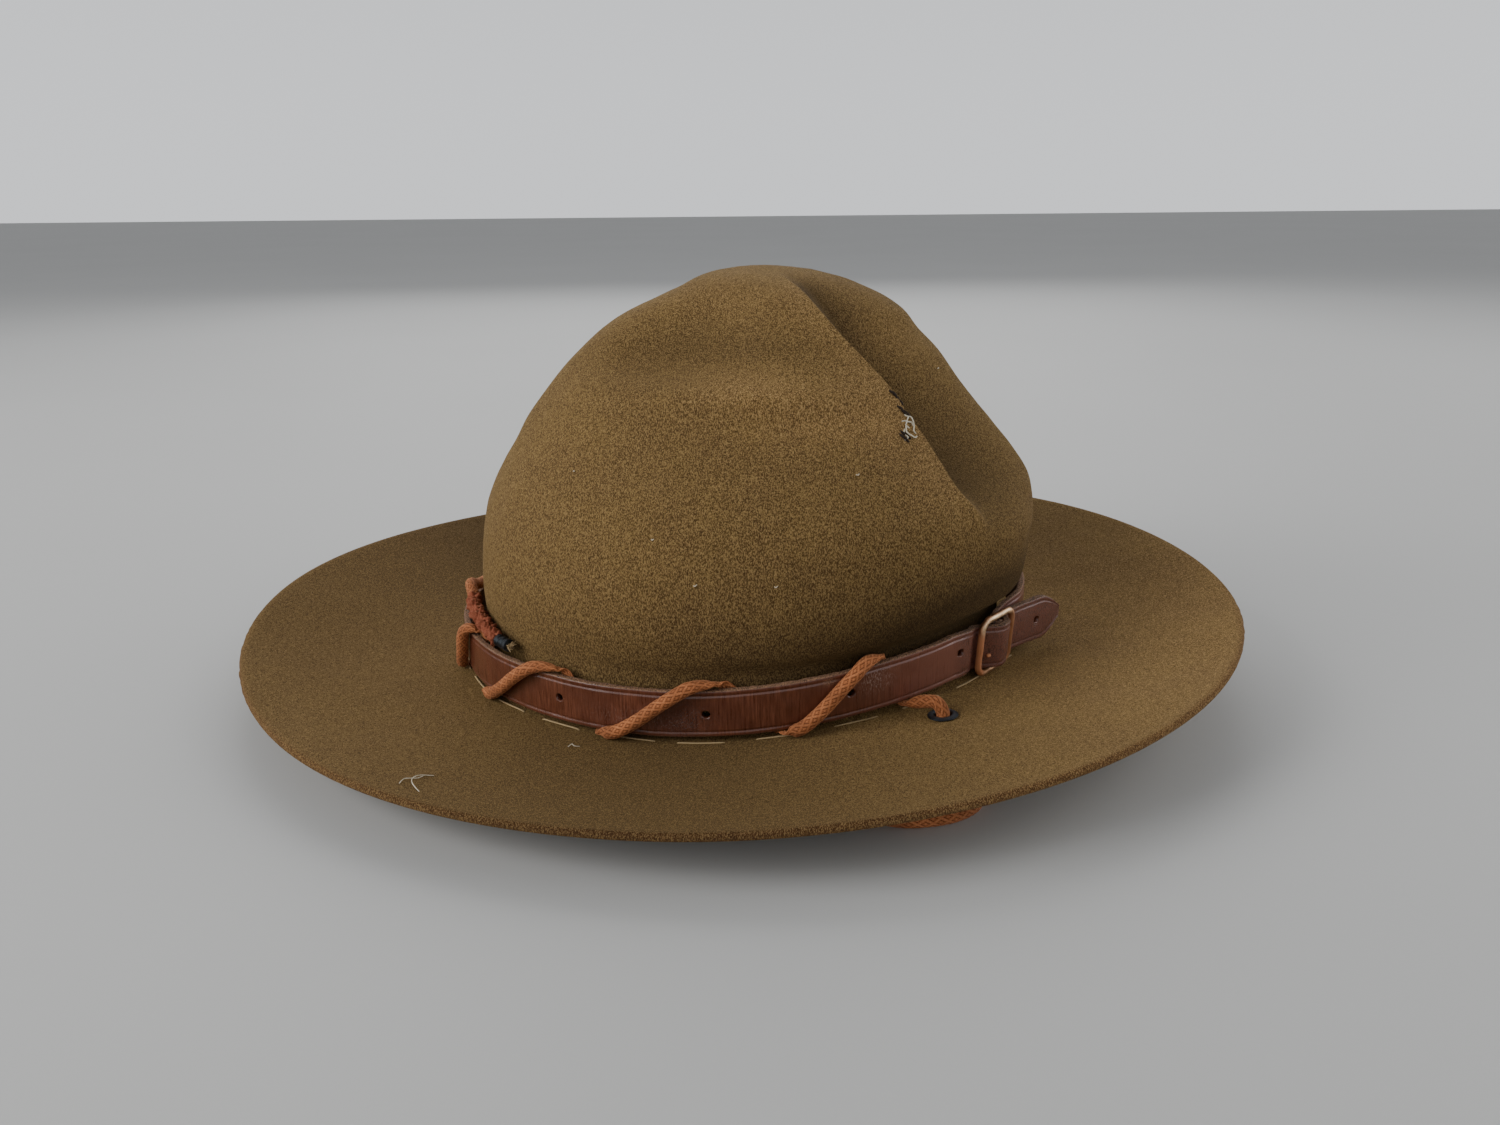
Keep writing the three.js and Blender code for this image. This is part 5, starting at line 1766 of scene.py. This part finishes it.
def strands(name: str, paths: Array, wide: Array, thick: Array, material: Material) -> Piece:
    """Makes many closed strands of one number of rows in one mesh, each a tube of a few sides.

    Args:
        name: the piece's name.
        paths: strands by rows by place.
        wide: half width vectors, of the same shape.
        thick: half thickness vectors, of the same shape.
        material: their finish.

    Returns:
        The piece.
    """
    section = circle(STRAND_SIDES)
    count, rows = paths.shape[:2]
    rings = paths[:, :, None] + wide[:, :, None] * section[:, :1] + thick[:, :, None] * section[:, 1:]
    start = (np.arange(count) * rows * STRAND_SIDES)[:, None]
    first = start[..., None] + (np.arange(rows - 1) * STRAND_SIDES)[:, None]
    side = np.arange(STRAND_SIDES)
    after, above = (side + 1) % STRAND_SIDES, first + STRAND_SIDES
    quads = np.stack([first + side, first + after, above + after, above + side], axis=-1)
    ends = np.concatenate([start + side[::-1], start + (rows - 1) * STRAND_SIDES + side])
    piece = add_object(name, rings.reshape(-1, 3), quads.reshape(-1, 4).tolist() + ends.tolist(), material)
    turned = bmesh.new()
    turned.from_mesh(piece.data)
    bmesh.ops.recalc_face_normals(turned, faces=turned.faces)
    turned.to_mesh(piece.data)
    turned.free()
    return piece


def laid_strands(
    name: str, paths: Array, lean: Array, wide: float, thick: float, material: Material,
) -> Piece:
    """Makes strands that lie flat: their width is square to their run and to a direction.

    Args:
        name: the piece's name.
        paths: strands by rows by place.
        lean: the direction out of what they lie on.
        wide: their half width.
        thick: their half thickness.
        material: their finish.

    Returns:
        The piece.
    """
    run = unit(np.gradient(paths, axis=1))
    across = unit(np.cross(run, lean))
    return strands(name, paths, across * wide, np.cross(across, run) * thick, material)


@dataclass
class Threads:
    """The hat's stitching, its mend, and the lint on it, laid on the felt's outer face."""

    felt: FeltBody
    band: Band
    stitch_pitch: float = 14.4
    stitch_start: float = -32.5
    stitch_span: float = 10.6
    stitch_out: float = -0.3
    stitch_lift: float = 0.22
    stitch_dip: float = 0.75
    thread: float = 0.44
    middle_of_crown: float = 60.0
    bend: float = 0.12
    bend_size: float = 2.4
    hair: float = 0.14
    tuft_strands: int = 26
    tuft_strand: float = 0.16

    def on_crown(self, azimuth: Array, height: Array) -> Array:
        """Points on the crown's finished face at azimuths and heights.

        Args:
            azimuth: azimuths in degrees.
            height: heights.

        Returns:
            The points.
        """
        rows = np.linspace(0, PEAK, 600)
        levels = self.felt.crown(np.full(600, float(np.mean(azimuth))), rows)[:, 2]
        place = 1 - np.interp(height, levels, rows) / PEAK
        points, out = self.felt.face(azimuth, place), self.felt.normals(azimuth, place)
        return points + out * self.felt.relief(azimuth, points)[..., None]

    def on_brim(self, azimuth: Array, distance: Array, lift: Array) -> Array:
        """Points on the brim at azimuths and distances from the crown's foot, lifted off it."""
        points = self.felt.brim(azimuth, distance)
        return points + UP * (self.felt.relief(azimuth, points) + lift)[..., None]

    def stitches(self, material: Material) -> Piece:
        """The long running stitches on the brim just outside the band, all the way round.

        Args:
            material: its finish.

        Returns:
            The piece.
        """
        starts = np.arange(self.stitch_start, self.stitch_start + 359, self.stitch_pitch)
        draw = np.random.default_rng(12)
        span = self.stitch_span * draw.uniform(0.88, 1.06, len(starts))
        share = np.linspace(0, 1, 17)
        azimuth = starts[:, None] + span[:, None] * share
        foot, out, _ = self.felt.foot.frame(azimuth)
        face = self.band.thick / 2 + self.stitch_out
        past = self.band.at(azimuth, np.full(azimuth.shape, face), np.zeros(azimuth.shape))
        distance = ((past - foot) * out).sum(axis=-1)
        shift = draw.uniform(-0.3, 0.3, len(starts))[:, None]
        slant = draw.uniform(-0.5, 0.5, len(starts))[:, None]
        distance = distance + shift + slant * (share - 0.5)
        lift = self.stitch_lift - self.stitch_dip * np.abs(2 * share - 1) ** 14
        paths = self.on_brim(azimuth, distance, np.broadcast_to(lift, azimuth.shape))
        return laid_strands("brim_stitches", paths, UP, self.thread, self.thread / 2, material)

    def laid(self, name: str, ways: list, radius: float, material: Material, seed: int = 3) -> Piece:
        """Lays thin strands on the crown through azimuths, heights and lifts.

        Args:
            name: the piece's name.
            ways: for each strand its points as azimuth, height and lift.
            radius: the strand's radius.
            material: its finish.
            seed: the draw of its small bends.

        Returns:
            The piece.
        """
        paths = []
        for way in ways:
            rows = np.array(way, float)
            fine = catmull_rom(rows, np.linspace(0, len(rows) - 1, 14))
            points = self.on_crown(fine[:, 0], fine[:, 1])
            out = unit(points - np.array([0.0, self.felt.foot.lean, self.middle_of_crown]))
            paths.append(points + out * fine[:, 2:3])
        paths = np.array(paths)
        bends = [ripple(paths, self.bend_size, seed + i) for i in range(3)]
        paths = paths + np.stack(bends, axis=-1) * self.bend
        return laid_strands(name, paths, np.array([0.3, 0.2, 0.9]), radius, radius, material)

    def mend(self, pale: Material, dark: Material) -> list[Piece]:
        """The mended tear beside the back pinch: dark stitches in a row and a loop of white thread.

        Args:
            pale: the loop's finish.
            dark: the stitches' finish.

        Returns:
            The two pieces.
        """
        stitches = [
            [(azimuth - 0.7, height + 1.3, -0.3), (azimuth, height, 0.35),
             (azimuth + 0.9, height - 1.4, -0.3)]
            for azimuth, height in DARK_STITCHES
        ]
        loops = [
            [(45.6, 103.6, -0.3), (46.3, 102.6, 0.5), (45.1, 101.4, 0.7), (44.6, 100.4, 0.4),
             (45.5, 99.4, -0.3)],
            [(44.2, 101.8, -0.2), (45.6, 101.2, 0.7), (46.6, 100.8, 0.4), (46.9, 99.6, -0.2)],
            [(44.8, 100.2, -0.2), (43.8, 98.8, 0.5), (44.4, 97.4, 0.6), (45.4, 96.6, 0.4), (46.4, 97, -0.2)],
            [(43.9, 99.6, -0.2), (43.2, 98.2, 0.4), (43.4, 97, 0.4), (42.6, 96.4, -0.2)],
            [(46.2, 103, 0.0), (47, 102, 0.5), (46.8, 100, 0.5), (46, 98.6, 0.4), (46.6, 97.8, -0.1)],
        ]
        return [
            self.laid("mend_dark_stitches", stitches, 0.46, dark),
            self.laid("mend_white_threads", loops, 0.24, pale),
        ]

    def lint(self, material: Material) -> Piece:
        """Small specks of lint on the crown."""
        specks = [[(a - 0.3, h + 0.1, 0.1), (a, h, 0.4), (a + 0.3, h + 0.3, 0.2)] for a, h in LINT]
        return self.laid("crown_lint", specks, 0.15, material, 8)

    def hairs(self, material: Material) -> Piece:
        """Two long pale hairs that curl on the brim near the front, and flecks beside them.

        Args:
            material: its finish.

        Returns:
            The piece.
        """
        ways = [
            [(-24.2, 74.0, 0.2), (-26.6, 70.5, 1.0), (-27.6, 66.0, 0.8), (-27.0, 61.5, 0.2)],
            [(-27.4, 73.0, 0.2), (-27.9, 70.0, 0.5), (-27.2, 67.0, 0.6), (-27.6, 64.0, 0.2)],
            [(-19.0, 16.0, 0.1), (-19.6, 17.4, 0.7), (-20.3, 16.6, 0.7), (-20.6, 18.0, 0.2)],
        ]
        paths = []
        for way in ways:
            rows = np.array(way, float)
            fine = catmull_rom(rows, np.linspace(0, len(rows) - 1, 20))
            paths.append(self.on_brim(fine[:, 0], fine[:, 1], fine[:, 2]))
        paths = np.array(paths)
        return laid_strands("brim_hairs", paths, UP, self.hair, self.hair, material)

    def tuft(self, material: Material) -> Piece:
        """The cream cotton core that sticks out of the aglet's end.

        Args:
            material: its finish.

        Returns:
            The piece.
        """
        end = self.band.at(np.array(AGLET_SPAN[1] + 0.1), *RIGHT_END.rows[-1, 1:3])
        inner = self.band.at(np.array(AGLET_SPAN[1] - 1.0), *RIGHT_END.rows[-1, 1:3])
        run = unit(end - inner)
        side = unit(np.cross(run, UP))
        other = np.cross(side, run)
        draw, count = np.random.default_rng(5), self.tuft_strands
        turn = draw.uniform(0, 2 * np.pi, count)
        share = np.linspace(0, 1, 8)[None, :, None]
        spoke = np.cos(turn)[:, None] * side + np.sin(turn)[:, None] * other
        start = end - run * 0.6 + spoke * draw.uniform(0.1, 1.2, count)[:, None]
        reach = draw.uniform(1.4, 3.2, count)[:, None, None]
        bend = draw.uniform(-0.2, 1.1, count)[:, None, None]
        paths = start[:, None] + run * share * reach + spoke[:, None] * (share**2) * bend
        paths = paths + UP * (share**2) * draw.uniform(-0.3, 1.4, count)[:, None, None]
        wide, thick = (np.broadcast_to(axis * self.tuft_strand, paths.shape) for axis in (side, other))
        return strands("aglet_tuft", paths, wide, thick, material)


# azimuth and height of the dark stitches of the mend, and of the lint on the crown
DARK_STITCHES = (
    (44.5, 115.2), (45.6, 113.3), (46.2, 111.2), (44.6, 109.6), (46.8, 107.2), (46.9, 106.0), (45.4, 105.0),
    (46.4, 103.8), (42.6, 97.0), (43.4, 97.8),
)
LINT = ((-33.2, 86.5), (-2.8, 57.0), (11.2, 57.1), (93.8, 110.3), (-12, 70), (28, 88))


# ------------------------------------------------------------------ studio


@dataclass(frozen=True)
class Studio:
    """The pale floor, the soft lights and the camera."""

    eye: tuple[float, float, float] = (0.4066, 0.0722, 0.1745)
    heading: tuple[float, float] = (-0.98714, -0.15988)
    down: float = math.radians(18.65)
    roll: float = math.radians(-0.8)
    lens: float = 27.0

    def camera(self) -> None:
        """Looks along the heading, tipped down and rolled."""
        ahead = np.array([*self.heading, 0.0])
        right = np.array([self.heading[1], -self.heading[0], 0.0])
        lifted = math.sin(self.down) * ahead + math.cos(self.down) * UP
        forward = math.cos(self.down) * ahead - math.sin(self.down) * UP
        x = math.cos(self.roll) * right + math.sin(self.roll) * lifted
        y = -math.sin(self.roll) * right + math.cos(self.roll) * lifted
        data = bpy.data.cameras.new("view")
        data.lens, data.sensor_width, data.clip_start = self.lens, 36.0, 0.01
        camera = bpy.data.objects.new("view", data)
        camera.matrix_world = Matrix((
            (x[0], y[0], -forward[0], self.eye[0]), (x[1], y[1], -forward[1], self.eye[1]),
            (x[2], y[2], -forward[2], self.eye[2]), (0, 0, 0, 1),
        ))
        bpy.context.scene.collection.objects.link(camera)
        bpy.context.scene.camera = camera

    def lights(self) -> None:
        """A room that is paler at eye level than overhead, and three wide soft lights."""
        world = bpy.data.worlds.new("pale_room")
        world.use_nodes = True
        bench = Bench(world.node_tree)
        up = bench.node("SeparateXYZ", {0: bench.node("TexCoord").outputs["Generated"]}).outputs["Z"]
        bench.feed(world.node_tree.nodes["Background"].inputs["Color"], (0.95, 0.97, 1.0))
        background = world.node_tree.nodes["Background"]
        bench.feed(background.inputs["Strength"], bench.remap(up, 0.0, 0.9, (0.95, 0.2)))
        bpy.context.scene.world = world
        for name, place, size, watts in (
            ("left_window", (0.75, -1.3, 0.8), 1.0, 21.0), ("back_window", (-1.1, -0.2, 0.9), 1.4, 9.0),
            ("right_window", (-0.3, 1.4, 0.7), 1.2, 9.0),
        ):
            data = bpy.data.lights.new(name, "AREA")
            data.size, data.energy = size, watts
            light = bpy.data.objects.new(name, data)
            light.matrix_world = Matrix.Translation(place) @ (
                Vector((0, 0, 0.06)) - Vector(place)).to_track_quat("-Z", "Y").to_matrix().to_4x4()
            bpy.context.scene.collection.objects.link(light)

    def floor(self) -> None:
        """A wide pale floor, not part of the hat."""
        material, bench, shader = new_material("pale_floor")
        color = bench.mix(bench.noise(bench.place, 3.0), (0.50, 0.50, 0.49), (0.54, 0.54, 0.53))
        bench.feed(shader.inputs["Base Color"], color)
        bench.feed(shader.inputs["Roughness"], 0.6)
        mesh = bpy.data.meshes.new("floor")
        mesh.from_pydata([(-6, -6, 0), (6, -6, 0), (6, 6, 0), (-6, 6, 0)], [], [(0, 1, 2, 3)])
        mesh.materials.append(material)
        floor = bpy.data.objects.new("floor", mesh)
        bpy.context.scene.collection.objects.link(floor)
        floor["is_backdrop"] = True


# ------------------------------------------------------------------ the hat


def stands_for(piece: Piece, slot: str = "", *nodes: str) -> Piece:
    """Hides the solids that a piece stands for and logs the piece with the slot of its finish.

    Args:
        piece: the piece.
        slot: its finish's slot, if it has one.
        nodes: the solids that it takes the place of.

    Returns:
        The piece itself.
    """
    if nodes:
        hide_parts(*nodes)
    count = len(piece.data.polygons)
    LOG.info("%s: %d faces, slot %s, for %s", piece.name, count, slot or "none", nodes or "no solid")
    return piece


def main() -> None:
    """Builds the view, the cords, the felt, the band and the metal, in that order."""
    logging.basicConfig(level=logging.INFO, format="%(message)s")
    studio = Studio()
    studio.camera()
    felt = FeltBody()
    band = Band(felt)
    lace = Lace(band)
    lace_finish = LaceFinish().material()
    stands_for(lace.loop(lace_finish), "lace", "lace_loop")
    stands_for(lace.left(lace_finish), "lace", "lace_left")
    stands_for(lace.right(lace_finish), "lace", "lace_right")
    japanned = MetalFinish(
        "japanned_metal", (0.20, 0.22, 0.25), (0.022, 0.027, 0.032), (0.05, 0.03, 0.02),
    ).material()
    brass = MetalFinish(
        "tarnished_brass", (0.92, 0.72, 0.48), (0.42, 0.20, 0.10), (0.66, 0.25, 0.10),
    ).material()
    stands_for(lace.aglet(japanned), "aglet_metal", "lace_aglet")
    stands_for(felt.build(FeltFinish().material()), "felt", "felt_hat")
    stands_for(band.build(LeatherFinish().material()), "leather", "hat_band")
    buckle = Buckle(band)
    stands_for(buckle.frame(brass), "buckle_metal", "buckle_frame")
    stands_for(buckle.centre_bar(brass), "buckle_metal")
    stands_for(buckle.prong(brass), "buckle_metal", "buckle_prong")
    eyelet = Eyelet(felt)
    for name, azimuth in (("left", felt.eyelet_azimuth), ("right", 180 - felt.eyelet_azimuth)):
        stands_for(eyelet.build(azimuth, f"eyelet_{name}_ring", japanned), "eyelet_metal", f"eyelet_{name}")
    threads = Threads(felt, band)
    cream = ThreadFinish("cream_thread", (0.52, 0.38, 0.20), (0.30, 0.20, 0.095)).material()
    white = ThreadFinish("white_thread", (0.74, 0.68, 0.54), (0.46, 0.40, 0.28)).material()
    black = ThreadFinish("dark_thread", (0.036, 0.021, 0.012), (0.012, 0.007, 0.004)).material()
    for piece in (threads.stitches(cream), *threads.mend(white, black), threads.lint(white),
                  threads.hairs(white), threads.tuft(cream)):
        stands_for(piece)
    studio.lights()
    studio.floor()
    as_lists = lambda box: [[float(v) for v in corner] for corner in box]
    {"cad": as_lists(CAD_BOX), "visual": as_lists(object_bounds())}


if __name__ == "__main__":
    main()
